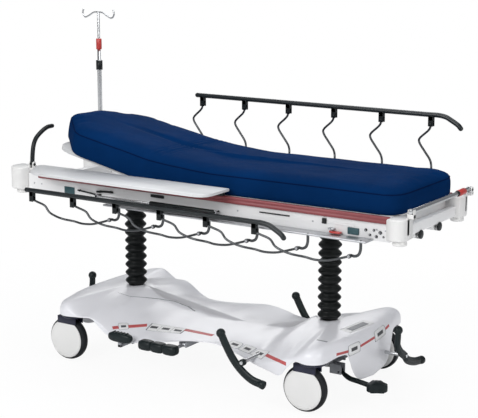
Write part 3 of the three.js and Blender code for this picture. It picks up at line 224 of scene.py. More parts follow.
HOOD_WHITE = (0.80, 0.80, 0.83)
mats = {
    "hood": moulded("hood_plastic", HOOD_WHITE, 0.34, 0.2, 700.0, 0.08, 0.03),
    "paint": moulded("white_paint", (0.80, 0.80, 0.80), 0.34, 0.2, 420.0, wear=0.03),
    "cover": moulded("cover_plastic", (0.78, 0.775, 0.76), 0.3, 0.3, wear=0.02),
    "board": moulded("board_plastic", (0.66, 0.665, 0.67), 0.42, 0.0, 520.0, 0.2, 0.04),
    "red": moulded("bumper_vinyl", (0.25, 0.052, 0.058), 0.45, 0.0, 800.0, 0.15, 0.14),
    "stripe": moulded("stripe_film", (0.50, 0.085, 0.085), 0.45, 0.0, 600.0, wear=0.12),
    "label": moulded("label_film", (0.80, 0.80, 0.80), 0.4, 0.0, 600.0, wear=0.02),
    "ink": moulded("label_ink", (0.06, 0.062, 0.068), 0.5, 0.0, 600.0, wear=0.2),
    # Grey for plate rims and print, and for painted shade in a slit and along a step of the hood
    "trim": moulded("grey_print_and_shade", (0.24, 0.25, 0.265), 0.45, 0.0, 600.0, wear=0.08),
    "dark": moulded("dark_plastic", (0.008, 0.011, 0.012), 0.36, 0.0, 1100.0, wear=0.3, specular=0.3),
    "grip": moulded("grip_plastic", (0.005, 0.011, 0.012), 0.4, 0.0, 1300.0, wear=0.3, specular=0.3),
    "navy_plastic": moulded("navy_plastic", (0.010, 0.012, 0.034), 0.32, 0.1, wear=0.2, specular=0.35),
    "latch": moulded("latch_plastic", (0.50, 0.035, 0.028), 0.35, 0.2, wear=0.12),
    "teal": moulded("teal_plastic", (0.03, 0.085, 0.10), 0.4, 0.0, wear=0.15),
    "rail": moulded("rail_coat", (0.010, 0.014, 0.016), 0.34, 0.1, 700.0, 0.1, 0.25, specular=0.4),
    "steel_paint": moulded("steel_paint", (0.30, 0.31, 0.33), 0.42, 0.0, 420.0, wear=0.1),
    "chrome": metal("plated_steel", (0.62, 0.63, 0.64), 0.2),
    "rod": metal("rod_steel", (0.105, 0.11, 0.115), 0.3),
    "brushed": metal("brushed_steel", (0.55, 0.56, 0.58), 0.3, (1, 30, 30)),
    "bellows": rubber("bellows_rubber", (0.0035, 0.0045, 0.0045), 0.34),
    "tyre": rubber("tyre_rubber", (0.012, 0.013, 0.015), 0.5),
    "fabric": woven("mattress_fabric", (0.002, 0.022, 0.088)),
    "piping": woven("mattress_piping", (0.002, 0.009, 0.045)),
}


# Mesh building

def circle(centre, side, up, radius, sides):
    """A ring of points in metres about a centre; the radius is in millimetres."""
    turns = (2 * math.pi * k / sides for k in range(sides))
    return [centre + (side * math.cos(t) + up * math.sin(t)) * radius * MM for t in turns]


def between(start, end, share):
    return [a + (b - a) * share for a, b in zip(start, end)]


def cover_of(piece):
    """The piece's surface, to lay other pieces on."""
    mesh = piece.data
    return BVHTree.FromPolygons([v.co for v in mesh.vertices], [f.vertices for f in mesh.polygons])


class Shape:
    """Collects closed parts, each with a material, and turns them into one piece."""

    def __init__(self):
        self.bm = bmesh.new()
        self.slots = []

    def slot_of(self, material):
        if material not in self.slots:
            self.slots.append(material)
        return self.slots.index(material)

    def add_mesh(self, other, material):
        slot = self.slot_of(material)
        made = [self.bm.verts.new(v.co) for v in other.verts]
        other.verts.index_update()
        for face in other.faces:
            try:
                new = self.bm.faces.new([made[v.index] for v in face.verts])
            except ValueError:
                continue
            new.material_index = slot
        other.free()

    def add(self, verts, faces, material):
        part = bmesh.new()
        made = [part.verts.new(v) for v in verts]
        for face in faces:
            part.faces.new([made[i] for i in face])
        bmesh.ops.recalc_face_normals(part, faces=part.faces)
        self.add_mesh(part, material)

    def box(self, x, y, z, material, bevel=2.0, segments=2, turn=None):
        part = bmesh.new()
        bmesh.ops.create_cube(part, size=1)
        low, high = at(x[0], y[0], z[0]), at(x[1], y[1], z[1])
        for v in part.verts:
            v.co = Vector([low[k] + (v.co[k] + 0.5) * (high[k] - low[k]) for k in range(3)])
        if bevel:
            least = min(high[k] - low[k] for k in range(3))
            bmesh.ops.bevel(part, geom=part.edges[:], offset=min(bevel * MM, least * 0.45),
                            segments=segments, profile=0.5, affect="EDGES")
        if turn:
            bmesh.ops.transform(part, matrix=turn, verts=part.verts)
        self.add_mesh(part, material)

    def prism(self, outline, z, material, bevel=1.5, segments=2, turn=None):
        part = bmesh.new()
        low = [part.verts.new(at(p[0], p[1], z[0])) for p in outline]
        high = [part.verts.new(at(p[0], p[1], z[1])) for p in outline]
        count = len(outline)
        caps = [part.faces.new(low[::-1]), part.faces.new(high)]
        for i in range(count):
            j = (i + 1) % count
            part.faces.new([low[i], low[j], high[j], high[i]])
        if bevel:
            rims = [e for cap in caps for e in cap.edges]
            bmesh.ops.bevel(part, geom=rims, offset=bevel * MM, segments=segments, profile=0.5, affect="EDGES")
        bmesh.ops.recalc_face_normals(part, faces=part.faces)
        if turn:
            bmesh.ops.transform(part, matrix=turn, verts=part.verts)
        self.add_mesh(part, material)

    def rings(self, rings, material, closed_ends=True):
        """Skin through rings of points in metres. A ring of one point closes to a tip."""
        verts = [p for ring in rings for p in ring]
        faces, start = [], 0
        for near, far in zip(rings, rings[1:]):
            a, b = start, start + len(near)
            n = max(len(near), len(far))
            for i in range(n):
                j = (i + 1) % n
                if len(near) == 1:
                    faces.append([a, b + i, b + j])
                elif len(far) == 1:
                    faces.append([a + i, a + j, b])
                else:
                    faces.append([a + i, a + j, b + j, b + i])
            start = b
        if closed_ends:
            if len(rings[0]) > 1:
                faces.append(list(range(len(rings[0])))[::-1])
            if len(rings[-1]) > 1:
                faces.append(list(range(start, start + len(rings[-1]))))
        self.add(verts, faces, material)

    def tube(self, points, radius, material, sides=16, round_ends=False, across=None, breadth=1.0):
        """points in metres, radius in millimetres. A flat path may be broader in its own plane."""
        count = len(points)
        radii = [radius] * count if not hasattr(radius, "__len__") else list(radius)
        ways = []
        for i in range(count):
            way = points[min(i + 1, count - 1)] - points[max(i - 1, 0)]
            ways.append(way.normalized())
        side = Vector(across) if across else ways[0].orthogonal().normalized()
        rings = []
        for i in range(count):
            side = (side - ways[i] * side.dot(ways[i])).normalized()
            up = ways[i].cross(side) * breadth
            rings.append(circle(points[i], side, up, radii[i], sides))
        if round_ends:
            def cap(ring, centre, way, size):
                made = []
                for lift in (0.38, 0.71, 0.92):
                    shrink = math.sqrt(1 - lift * lift)
                    made.append([centre + (p - centre) * shrink + way * size * MM * lift for p in ring])
                return made + [[centre + way * size * MM]]
            first = cap(rings[0], points[0], -ways[0], radii[0])
            last = cap(rings[-1], points[-1], ways[-1], radii[-1])
            rings = first[::-1] + rings + last
        self.rings(rings, material)

    def rod(self, a, b, radius, material, sides=24, edge=0.8):
        """A round bar between two places in millimetres with slightly rounded rims."""
        start, end = at(*a), at(*b)
        way = (end - start).normalized()
        length = (end - start).length / MM
        edge = min(edge, length / 3, radius / 3)
        stops = [(0, radius - edge), (edge * 0.3, radius - edge * 0.3), (edge, radius),
                 (length - edge, radius), (length - edge * 0.3, radius - edge * 0.3), (length, radius - edge)]
        side = way.orthogonal().normalized()
        up = way.cross(side)
        self.rings([circle(start + way * s * MM, side, up, r, sides) for s, r in stops], material)

    def lathe(self, profile, centre, material, axis="Z", sides=48, closed=False):
        """profile of (radius, along) pairs in millimetres about an axis through centre."""
        rings = []
        for radius, along in profile:
            ring = []
            for k in range(sides):
                t = 2 * math.pi * k / sides
                u, v = radius * math.cos(t), radius * math.sin(t)
                if axis == "Z":
                    ring.append(at(centre[0] + u, centre[1] + v, centre[2] + along))
                elif axis == "Y":
                    ring.append(at(centre[0] + u, centre[1] + along, centre[2] + v))
                else:
                    ring.append(at(centre[0] + along, centre[1] + u, centre[2] + v))
            rings.append(ring if radius > 1e-6 else [ring[0]])
        if closed:
            rings.append(rings[0])
            self.rings(rings, material, closed_ends=False)
        else:
            self.rings(rings, material)

    def finish(self, name, body, slot, stands_for=(), angle=38, weld=False):
        if weld:
            bmesh.ops.remove_doubles(self.bm, verts=self.bm.verts, dist=1e-6)
        limit = math.radians(angle)
        for edge in self.bm.edges:
            edge.smooth = len(edge.link_faces) == 2 and edge.calc_face_angle(0) < limit
        for face in self.bm.faces:
            face.smooth = True
        mesh = bpy.data.meshes.new(name)
        self.bm.to_mesh(mesh)
        self.bm.free()
        for material in self.slots:
            mesh.materials.append(mats[material])
        piece = bpy.data.objects.new(name, mesh)
        bpy.context.scene.collection.objects.link(piece)
        if body:
            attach(piece, body)
        for node in stands_for:
            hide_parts(node)
        return piece


def curve(points, per=5):
    """Points in metres along a centripetal Catmull-Rom curve through places in millimetres."""
    given = [at(*p) for p in points]
    ends = [given[0] * 2 - given[1]] + given + [given[-1] * 2 - given[-2]]
    out = []
    for i in range(len(given) - 1):
        p0, p1, p2, p3 = ends[i:i + 4]
        gaps = [max((b - a).length, 1e-6) ** 0.5 for a, b in ((p0, p1), (p1, p2), (p2, p3))]
        t1 = ((p1 - p0) / gaps[0] - (p2 - p0) / (gaps[0] + gaps[1]) + (p2 - p1) / gaps[1]) * gaps[1]
        t2 = ((p2 - p1) / gaps[1] - (p3 - p1) / (gaps[1] + gaps[2]) + (p3 - p2) / gaps[2]) * gaps[1]
        for k in range(per):
            t = k / per
            out.append(p1 + t1 * t + (p2 * 3 - p1 * 3 - t1 * 2 - t2) * t ** 2
                       + (p1 * 2 - p2 * 2 + t1 + t2) * t ** 3)
    out.append(given[-1])
    return out


def rounded(corners, radius, steps=5):
    """A closed outline whose corners are rounded. radius is one number or one for each corner."""
    out = []
    count = len(corners)
    for i, corner in enumerate(corners):
        size = radius[i] if hasattr(radius, "__len__") else radius
        p = Vector(corner)
        a = (Vector(corners[i - 1]) - p)
        b = (Vector(corners[(i + 1) % count]) - p)
        half = a.angle(b) / 2
        reach = min(size / math.tan(half), a.length * 0.49, b.length * 0.49)
        start, end = p + a.normalized() * reach, p + b.normalized() * reach
        for k in range(steps + 1):
            t = k / steps
            q = start * (1 - t) ** 2 + p * 2 * t * (1 - t) + end * t ** 2
            out.append((q.x, q.y))
    return out


def mirror(pair, side):
    return (pair[0], pair[1]) if side > 0 else (-pair[1], -pair[0])


def smooth(low, high, value):
    t = min(1.0, max(0.0, (value - low) / (high - low)))
    return t * t * (3 - 2 * t)


def cheeks(centre, near, far):
    """The two ranges that a pair of cheeks takes up on either side of a centre."""
    return [(centre + low, centre + high) for low, high in (mirror((near, far), 1), mirror((near, far), -1))]


def ring_eye(shape, centre, half, outer, inner, material, axis="X", rim=0.6, sides=28):
    """A ring about a pin, with chamfered rims; half is half its length along the axis."""
    shape.lathe([(inner, -half), (outer - rim, -half), (outer, -half + rim), (outer, half - rim),
                 (outer - rim, half), (inner, half)], centre, material, axis, sides, closed=True)


SIDES = ((1, "far"), (-1, "near"))
ENDS = ((1, "foot"), (-1, "head"))
COLUMN_X = 532
COLUMN_HOLE = 34.5
CASTER_X, CASTER_Y, TRAIL, WHEEL_R = 643.5, 335, 33.5, 101.5


# Hood of the base

RIM_END = [
    (755, 0, 90), (751, 130, 110), (747, 168, 150), (743, 196, 206), (738, 216, 236), (724, 270, 238),
    (709.5, 335, 228), (700.6, 368, 228), (676.5, 392.2, 228), (643.5, 401, 228),
]
RIM_SIDE = [
    (590, 397, 230), (545, 391, 190),
    (510, 384, 152), (450, 374, 158), (370, 352, 165), (310, 332, 172), (250, 311, 180),
    (190, 302, 190), (128, 306, 203), (60, 326, 206), (0, 344, 203), (-100, 366, 187),
    (-200, 376, 168), (-290, 379, 156), (-400, 379, 166),
    (-439, 379, 183), (-470, 381, 208), (-503, 386, 234), (-560, 393, 232),
]
RIM = RIM_END + RIM_SIDE + [(-x, y, z) for x, y, z in RIM_END[::-1]]
CROWN = [
    (-800, 305), (-600, 307), (-532, 309), (-460, 301), (-350, 262), (-200, 244),
    (-60, 229), (60, 223), (200, 224), (320, 236), (460, 298), (532, 309), (600, 307), (800, 305),
]
WALL = 4
SPINE = 560
SKIRT_TOP = 234
LIP = 3
# Round each column the roof is level, and it leaves that level between these two distances.
SADDLE_Z, SADDLE_REACH = 309, (62, 118)


def table(rows, x):
    for low, high in zip(rows, rows[1:]):
        if x <= high[0]:
            t = max(0.0, (x - low[0]) / (high[0] - low[0]))
            return low[1] + (high[1] - low[1]) * t * t * (3 - 2 * t)
    return rows[-1][1]


def hood_eave(rim):
    """The roof's edge: over the casters and at the ends the skirt hangs straight down from it."""
    lip = rim[2] + LIP
    return lip + max(0, SKIRT_TOP - lip) * smooth(320, 600, abs(rim[0]))


def hood_point(rim, share):
    """A point of the hood's roof: share 0 is the spine, 1 the eave."""
    spine = max(-SPINE, min(SPINE, rim[0]))
    x = spine + (rim[0] - spine) * share
    y = rim[1] * share
    endness = smooth(560, 660, abs(rim[0]))
    crown = table(CROWN, x)
    mid = (1 - 0.65 * share ** 1.5) * (1 - share ** 4) ** (1 / 1.5)
    end = (1 - 0.14 * share ** 1.5) * (1 - share ** 14) ** (1 / 3)
    level = mid * (1 - endness) + end * endness
    eave = hood_eave(rim)
    z = eave + (crown - eave) * level
    reach = math.hypot(abs(x) - COLUMN_X, y)
    z = SADDLE_Z + (z - SADDLE_Z) * smooth(*SADDLE_REACH, reach)
    return x, y, z


def hood_outline():
    half = [tuple(c / MM for c in p) for p in curve(RIM, 4)]
    half = [(x - SHIFT[0], y - SHIFT[1], z) for x, y, z in half]
    near = [(x, -y, z) for x, y, z in half[1:-1]][::-1]
    return half + near


def evaluated(piece):
    view = bpy.context.evaluated_depsgraph_get()
    return bpy.data.meshes.new_from_object(piece.evaluated_get(view))


def make_hood():
    outline = hood_outline()
    shape = Shape()
    shares = [0.012, 0.06, 0.13, 0.2, 0.28, 0.36, 0.44, 0.52, 0.6, 0.67, 0.74, 0.8, 0.85, 0.89, 0.925,
              0.95, 0.968, 0.98, 0.989, 0.995, 0.9985, 1.0]
    outer = [[at(*hood_point(rim, s)) for rim in outline] for s in shares]
    for drop in (0.04, 0.2, 0.5, 0.8, 0.96, 1.0):
        outer.append([at(rim[0], rim[1], hood_eave(rim) + (rim[2] - hood_eave(rim)) * drop)
                      for rim in outline])
    inner = []
    for s in (1.0, 0.985, 0.95, 0.9, 0.8, 0.65, 0.5, 0.3, 0.1, 0.012):
        ring = []
        for rim in outline:
            spine = max(-SPINE, min(SPINE, rim[0]))
            reach = math.hypot(rim[0] - spine, rim[1])
            scale = s * (reach - WALL) / reach
            z = rim[2] if s == 1.0 else max(rim[2], hood_point(rim, s)[2] - WALL)
            ring.append(at(spine + (rim[0] - spine) * scale, rim[1] * scale, z))
        inner.append(ring)
    shape.rings(outer + inner, "hood")
    cutter = Shape()
    for sx, _ in ENDS:
        cutter.rod((sx * COLUMN_X, 0, 200), (sx * COLUMN_X, 0, 420), COLUMN_HOLE, "hood", 64, 0)
    shell = shape.finish("hood_shell", "base", "hood_plastic", ["base_hood"], angle=60)
    tool = cutter.finish("hood_cutter", None, "hood_plastic")
    cut = shell.modifiers.new("openings", "BOOLEAN")
    cut.object, cut.solver = tool, "EXACT"
    mesh = evaluated(shell)
    shell.modifiers.clear()
    shell.data = mesh
    bpy.data.objects.remove(tool)
    return shell


class Film:
    """Thin films and plates laid on the hood. Their places are pixels of the photograph."""

    def __init__(self, carrier):
        self.cover = cover_of(carrier)
        self.shape = Shape()

    def place(self, pixel):
        spot, normal, _, _ = self.cover.ray_cast(EYE, sight(pixel))
        return spot, normal

    def lay(self, start, end, half, material, lift, corner=0.0, steps=28):
        """A band of half width half between two pixels, corner rounds its ends; all but pixels in mm."""
        a, b = self.place(start)[0], self.place(end)[0]
        length = (b - a).length / MM
        top, low = [], []
        for i in range(steps + 1):
            t = i / steps
            if corner:
                t = (1 - math.cos(math.pi * t)) / 2
            spot, normal = self.place(between(start, end, t))
            across = normal.cross(b - a).normalized()
            reach = min(t, 1 - t) * length
            wide = half
            if corner and reach < corner:
                wide = half - corner + math.sqrt(max(0.0, corner ** 2 - (corner - reach) ** 2))
            row = []
            for k in range(-3, 4):
                near, face, _, _ = self.cover.find_nearest(spot + across * (wide * k / 3 * MM))
                row.append((near, face))
            top.append([near + face * lift * MM for near, face in row])
            low.append([near - face * 0.5 * MM for near, face in row])
        rings = [t_row + l_row[::-1] for t_row, l_row in zip(top, low)]
        self.shape.rings(rings, material)

    def plate(self, start, end, half, marks=(), corner=5.0):
        """A blank plate with a thin dark rim and plain generic marks between shares of its length."""
        self.lay(start, end, half, "trim", 0.5, corner)
        inner = [between(start, end, t) for t in (0.035, 0.965)]
        self.lay(*inner, half - 1.2, "label", 0.8, corner)
        for low, high, size in marks:
            ends = [between(start, end, t) for t in (low, high)]
            self.lay(*ends, half * size, "ink", 1.0, 0.0, 10)


PLAIN_MARKS = ((0.25, 0.75, 0.32),)
TRIPLE_MARKS = ((0.06, 0.26, 0.3), (0.39, 0.59, 0.3), (0.73, 0.93, 0.3),
                (0.318, 0.322, 0.85), (0.662, 0.666, 0.85))


# Stripes, plates and labels of the hood's near side and foot end: their two ends in pixels of the
# photograph, their half width in millimetres and, for a plate, its marks and the rounding of its ends
SIDE_STRIPES = (((112.5, 328), (118.5, 327.2), 9), ((128, 326.6), (147, 325.2), 11),
                ((184.5, 329.6), (213, 335.4), 12), ((266, 354.8), (286, 364), 8))
SIDE_PLATES = (((118.5, 326.8), (128.5, 326), 22, PLAIN_MARKS),
               ((148.5, 326.6), (184, 331.4), 30, TRIPLE_MARKS),
               ((229, 342.5), (241, 346.5), 28, PLAIN_MARKS, 16.0),
               ((242, 346.8), (253, 351), 26, PLAIN_MARKS),
               ((254, 351.4), (265.5, 355.6), 26, PLAIN_MARKS))
END_STRIPES = (((336.5, 354.6), (348.5, 351.4), 5.5), ((360.5, 346.2), (374.6, 337.4), 5.5),
               ((385.4, 329), (389, 325.2), 5.5))
END_PLATES = (((348.4, 351.6), (360.4, 346), 24, PLAIN_MARKS, 12.0),
              ((374.8, 337.4), (385.4, 329), 24, PLAIN_MARKS, 8.0))
END_LABEL, END_LABEL_PRINT = ((345, 331.4), (369, 321.6), 28), ((349, 330), (366, 323), 16)
# A grey film painted as the shade inside a slit near the foot corner of the near side: its two ends in pixels
# and half width in millimetres
SLIT_PAINTED_SHADE = ((317, 339.8), (327.5, 342), 4.5)
# Grey films painted as the shade along a recessed step of the hood's top, widening towards the hollow: their
# points in pixels
STEP_PAINTED_SHADE = ((118, 292.6), (130, 296.4), (146, 297.6), (160, 299), (176, 301.6), (188, 306.4), (195, 311.2))


def make_films(hood):
    film = Film(hood)
    for stripes, plates in ((SIDE_STRIPES, SIDE_PLATES), (END_STRIPES, END_PLATES)):
        for stripe in stripes:
            film.lay(*stripe, "stripe", 0.5)
        for plate in plates:
            film.plate(*plate)
    film.lay(*END_LABEL, "label", 0.5, 3.0)
    film.lay(*END_LABEL_PRINT, "trim", 0.8, 2.0)
    # Painted shade: a grey film where the slit's inside is dark
    film.lay(*SLIT_PAINTED_SHADE, "trim", 0.4, 2.0)
    # Painted shade along the step, wider towards the hollow
    for i, (start, end) in enumerate(zip(STEP_PAINTED_SHADE, STEP_PAINTED_SHADE[1:])):
        film.lay(start, end, 1.2 + 0.5 * i, "trim", 0.3, 0.0, 8)
    film.shape.finish("hood_films", "base", "hood_plastic", angle=30)


make_films(make_hood())


# Casters

def make_casters():
    for sx, end in ENDS:
        for sy, side in SIDES:
            name = f"{side}_{end}"
            x, y = sx * CASTER_X - TRAIL, sy * CASTER_Y
            tyre = Shape()
            profile = [(70, -17), (80, -19.5), (88, -21), (94, -20), (98.5, -16), (101, -9), (101.5, 0),
                       (101, 9), (98.5, 16), (94, 20), (88, 21), (80, 19.5), (70, 17)]
            tyre.lathe(profile, (x, y, WHEEL_R), "tyre", "Y", 96)
            hub = [(7, -19), (22, -19), (25, -14), (60, -12), (72, -17), (72, 17), (60, 12), (25, 14),
                   (22, 19), (7, 19)]
            tyre.lathe(hub, (x, y, WHEEL_R), "cover", "Y", 64)
            tyre.finish(f"{name}_wheel", f"{name}_roll", "tyre_rubber", [f"{name}_caster_wheel"])
            fork = Shape()
            for face in (1, -1):
                base = y + face * 23.5
                dish = [(0, face * 7.0), (30, face * 6.8), (62, face * 6.2), (80, face * 5.0), (87, face * 3.4),
                        (90, face * 1.2), (90, 0), (0, 0)]
                if face < 0:
                    dish = dish[::-1]
                fork.lathe(dish, (x, base, WHEEL_R), "cover", "Y", 96)
                fork.box((x - 45, x + 62), (min(base, base + face * 6), max(base, base + face * 6)),
                         (176, 209), "navy_plastic", 2.4)
            fork.box((x - 45, x + 62), (y - 29.5, y + 29.5), (203.6, 211.6), "navy_plastic", 2.0)
            fork.rod((x, y - 24, WHEEL_R), (x, y + 24, WHEEL_R), 6, "chrome")
            swivel = sx * CASTER_X
            fork.rod((swivel, y, 206), (swivel, y, 250), 13.8, "chrome")
            fork.finish(f"{name}_fork", f"{name}_swivel", "cover_plastic", [f"{name}_caster_fork"])


make_casters()


# Lift columns and bellows

def bellows_profile(low, high, folds):
    step = (high - low) / folds
    outer = []
    for i in range(folds):
        base = low + i * step
        for t, r in ((0.0, 37.2), (0.08, 38.2), (0.28, 46.2), (0.40, 50.6), (0.5, 52.0), (0.60, 50.6),
                     (0.72, 46.2), (0.92, 38.2)):
            outer.append((r, base + t * step))
    outer.append((37.2, high))
    inner = [(35.4, high)]
    for i in range(folds - 1, -1, -1):
        base = low + i * step
        inner += [(50.0, base + 0.5 * step), (35.4, base)]
    return outer + inner


# The head bellows shortens with the lift and with the tilt, and a piece squashes with one joint only.
# So its folds are four pieces: their numbers of folds, bodies, joints and anchored folds, upwards.
HEAD_BELLOWS = ((1, "base", "lift", 0), (4, "head_sleeve", "lift", 5), (4, "head_ram", "head_ram_slide", 9),
                (1, "head_ram", "lift", 10))


def make_bellows():
    low, high, folds = 309.8, 704, 10
    step = (high - low) / folds
    for sx, end in ENDS:
        x = sx * COLUMN_X
        first = 0
        for count, body, joint, held in HEAD_BELLOWS if end == "head" else ((folds, "base", "lift", 0),):
            shape = Shape()
            base, top = low + first * step, low + (first + count) * step
            shape.lathe(bellows_profile(base, top, count), (x, 0, 0), "bellows", "Z", 64, closed=True)
            piece = shape.finish(f"{end}_bellows_{first}", body, "bellows_rubber", [f"{end}_bellows"], angle=75)
            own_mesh(piece)
            first += count


make_bellows()


def make_columns():
    for sx, end in ENDS:
        x = sx * COLUMN_X
        shape = Shape()
        wall = [(0, 107), (25.4, 107), (25.4, 339), (26.4, 340), (29, 340), (30, 339), (30, 199), (46, 199),
                (46, 190.3), (30, 190.3), (30, 97), (28, 95), (0, 95)]
        shape.lathe(wall, (x, 0, 0), "chrome", "Z", 48)
        shape.finish(f"{end}_cylinder", "base", "plated_steel", [f"{end}_jack_cylinder"])
        shape = Shape()
        shape.lathe([(20.4, 290), (20.4, 528), (24, 528), (25, 527), (25, 291), (24, 290)], (x, 0, 0),
                    "chrome", "Z", 48, closed=True)
        shape.finish(f"{end}_sleeve_tube", f"{end}_sleeve", "plated_steel", [f"{end}_jack_sleeve"])
        shape = Shape()
        shape.rod((x, 0, 480), (x, 0, 749), 20, "chrome", 48, 2)
        shape.rod((x, 0, 704.6), (x, 0, 712), 38, "dark", 48, 1)
        shape.rod((x, -56, 735), (x, 56, 735), 7, "chrome", 24, 1)
        shape.finish(f"{end}_ram_rod", f"{end}_ram", "plated_steel", [f"{end}_jack_ram"])


make_columns()


# Litter frame

def make_litter():
    shape = Shape()
    shape.box((-211, 962), (-286, 286), (855.3, 869.6), "paint", 2)
    for x, z in (((-216, -180), (800, 850)), ((930, 964.6), (778, 850)), ((-920, -880), (775, 828)),
                 ((497, 567), (772, 850)), ((-600, -500), (776, 828))):
        shape.box(x, (-268, 268), z, "paint", 4)
    shape.box((986, 1018), (-224.6, 224.6), (786, 830), "paint", 7, 4)
    shape.rod((-225, -256, 862), (-225, 256, 862), 4.2, "chrome")
    for sy, side in SIDES:
        shape.box((-944.6, 964.6), mirror((262, 290), sy), (765, 855), "paint", 5, 3)
        for x0, x1 in ((502, 562), (-618, -494)):
            shape.box((x0, x1), mirror((40, 49), sy), (716, 800), "paint", 2)
        shape.box((-225, -186), mirror((210, 230), sy), (846, 868.5), "steel_paint", 1.5)
        lug = mirror((210, 230), sy)
        shape.rod((-225, lug[0], 862), (-225, lug[1], 862), 7.3, "steel_paint")
    for y in (56, -121):
        shape.rod((930, y, 775), (1018, y, 775), 18.5, "paint", 32, 1.5)
        shape.rod((1001, y, 775), (1024, y, 775), 18.5, "dark", 32, 2)
    for x in (-505, 143):
        shape.rod((x, -262, 799), (x, -330, 799), 4.1, "dark")
    shape.box((690, 716), (-306, -289), (790, 797), "brushed", 1)
    shape.rod((704, -304, 779), (704, -304, 797), 3, "chrome")
    # Rivets and bolt heads along the rails
    for sy, side in SIDES:
        face = sy * 290
        for x in (-905, -860, 240, 610, 655, 905, 945):
            shape.rod((x, face - sy * 2, 812), (x, face + sy * 1.6, 812), 4, "brushed", 12, 0.6)
    shape.finish("litter_weldment", "litter", "litter_paint", ["litter_frame"])

    for sy, side in SIDES:
        band = Shape()
        section = [(290.4, 842), (303, 842), (305, 844), (305, 853), (302.6, 856.2), (302.6, 858.8), (305, 862),
                   (305, 868), (303, 871), (301, 872), (290.4, 872)]
        rings = []
        for x in (-870, -868, 962.4, 964.4):
            inset = 1.5 if x in (-870, 964.4) else 0
            ring = [at(x, sy * (y if y < 291 else y - inset),
                       min(z, 872 - inset) if z > 860 else max(z, 842 + inset)) for y, z in section]
            rings.append(ring)
        band.rings(rings, "red")
        band.finish(f"{side}_bumper", "litter", "bumper_red", [f"{side}_bumper_band"], angle=50)


make_litter()


def arc_corner(x, y, radius, steps=8):
    """The outline of a corner block, rounded at its outer corner."""
    inner_x, outer_x = x
    inner_y, outer_y = y
    sign_x = 1 if outer_x > inner_x else -1
    sign_y = 1 if outer_y > inner_y else -1
    out = [(inner_x, inner_y), (outer_x - sign_x * 6, inner_y), (outer_x, inner_y + sign_y * 6)]
    for i in range(steps + 1):
        t = math.pi / 2 * i / steps
        out.append((outer_x - sign_x * radius * (1 - math.cos(t)),
                    outer_y - sign_y * radius * (1 - math.sin(t))))
    out.append((inner_x, outer_y))
    return out


def ears(shape, x, y, z, low, radius, material):
    for inner, outer in cheeks(x, 8, 13):
        shape.rod((inner, y, z), (outer, y, z), radius, material, 28, 0.8)
        shape.box((inner, outer), (y - radius, y + radius), (low, z), material, 0.8)
    shape.rod((x - 13, y, z), (x + 13, y, z), 5, "chrome", 20, 0.6)


def make_corners():
    for sx, end in ENDS:
        for sy, side in SIDES:
            name = f"{side}_{end}"
            if end == "foot":
                x, z = (965, 1036), (780, 869)
            else:
                x, z = (-945, -1036), (780, 885)
            y = (sy * 225, sy * 325)
            shape = Shape()
            outline = arc_corner(x, y, 34)
            shape.prism(outline, z, "cover", 5, 4)
            pad = ((x[0] + x[1]) / 2, sy * 275)
            foot = [(0, 757), (26, 757), (29.5, 759.5), (30, 763), (29.5, 770), (26, 776), (24, 782), (0, 782)]
            shape.lathe(foot, (pad[0], pad[1], 0), "cover", "Z", 48)
            if name == "far_head":
                ears(shape, -981, 306, 900, 879, 10, "cover")
            if name == "far_foot":
                shape.box((1030, 1062), (278, 302), (872, 886), "cover", 2)
                shape.box((1030, 1036), (278, 302), (800, 886), "cover", 2)
                ears(shape, 1049, 290, 900, 880, 10, "cover")
            if name == "near_foot":
                shape.box((1030, 1062), (-283, -262), (872, 889.6), "cover", 2)
                shape.box((1030, 1036), (-283, -262), (800, 889.6), "cover", 2)
                for cheek in cheeks(1049, 10.2, 13):
                    shape.box(cheek, (-283, -262), (872, 908), "cover", 1.2)
            if name == "near_head":
                shape.box((-962, -926), (-274, -250), (866, 877), "cover", 2)
                ears(shape, -940, -262, 897, 866, 11, "cover")
            shape.finish(f"{name}_corner", "litter", "cover_plastic", [f"{name}_corner_block"])


make_corners()


# Backrest deck

HINGE = at(-225, 0, 862)
REST = math.radians(12)
RAISE = Matrix.Translation(HINGE) @ Matrix.Rotation(REST, 4, "Y") @ Matrix.Translation(-HINGE)


def make_back_deck():
    shape = Shape()
    outline = rounded([(-239.3, -250), (-239.3, 250), (-832, 250), (-832, -250)], [4, 4, 120, 120], 12)
    shape.prism(outline[::-1], (855.3, 869.6), "board", 2, 2, RAISE)
    for sy in (1, -1):
        shape.box((-800, -262), mirror((140, 150), sy), (838, 856), "paint", 2, 2, RAISE)
        knuckle = mirror((180, 200), sy)
        shape.box((-246.9, -229), knuckle, (855.3, 869.6), "board", 1, 2, RAISE)
        shape.rod((-225, knuckle[0], 862), (-225, knuckle[1], 862), 7.6, "board", 28, 0.8)
    shape.finish("backrest_panel", "backrest", "board_grey", ["back_deck"])


make_back_deck()


# Mattress

PAD_BASE = 870.3
PAD_FOOT, PAD_HEAD, PAD_HALF = 1003.0, -896.0, 294.0
PAD_FOOT_ROUND = 108.0
# The side board and the raised rails stay clear of this half width.
PAD_REACH = 296.6
# The head end is cut off at both corners, and the cuts are rounded into the ends.
CUT_LONG, CUT_WIDE, CUT_ROUND = 200.0, 200.0, 90.0
SEAM_HEIGHT, SEAM_INSET = 88.0, 4.8
PAD_LEVELS = [(0, 14), (2, 6), (8, 2.4), (20, 0.8), (45, 0), (66, 0.8), (78, 2.6), (84, 5), (90, 8), (95.5, 14),
              (99, 24), (101.5, 40), (103.5, 66), (105, 100), (106.2, 145), (106.8, 190), (107, 235), (107, 270)]
BEND_REACH = 90.0
HINGE_X, HINGE_Z = -225.0, 862.0
# Creases pulled into the cover where the backrest bends it: place along, depth and width
CREASES = ((-262, 3.4, 6.5), (-236, 4.6, 7.5), (-198, 4.2, 7), (-172, 2.6, 6))
# Metres, except the cord's radius in millimetres
VOXEL, SIM_FRAMES, PUFF_LIMIT, PIPING = 0.009, 20, 0.009, 2.4


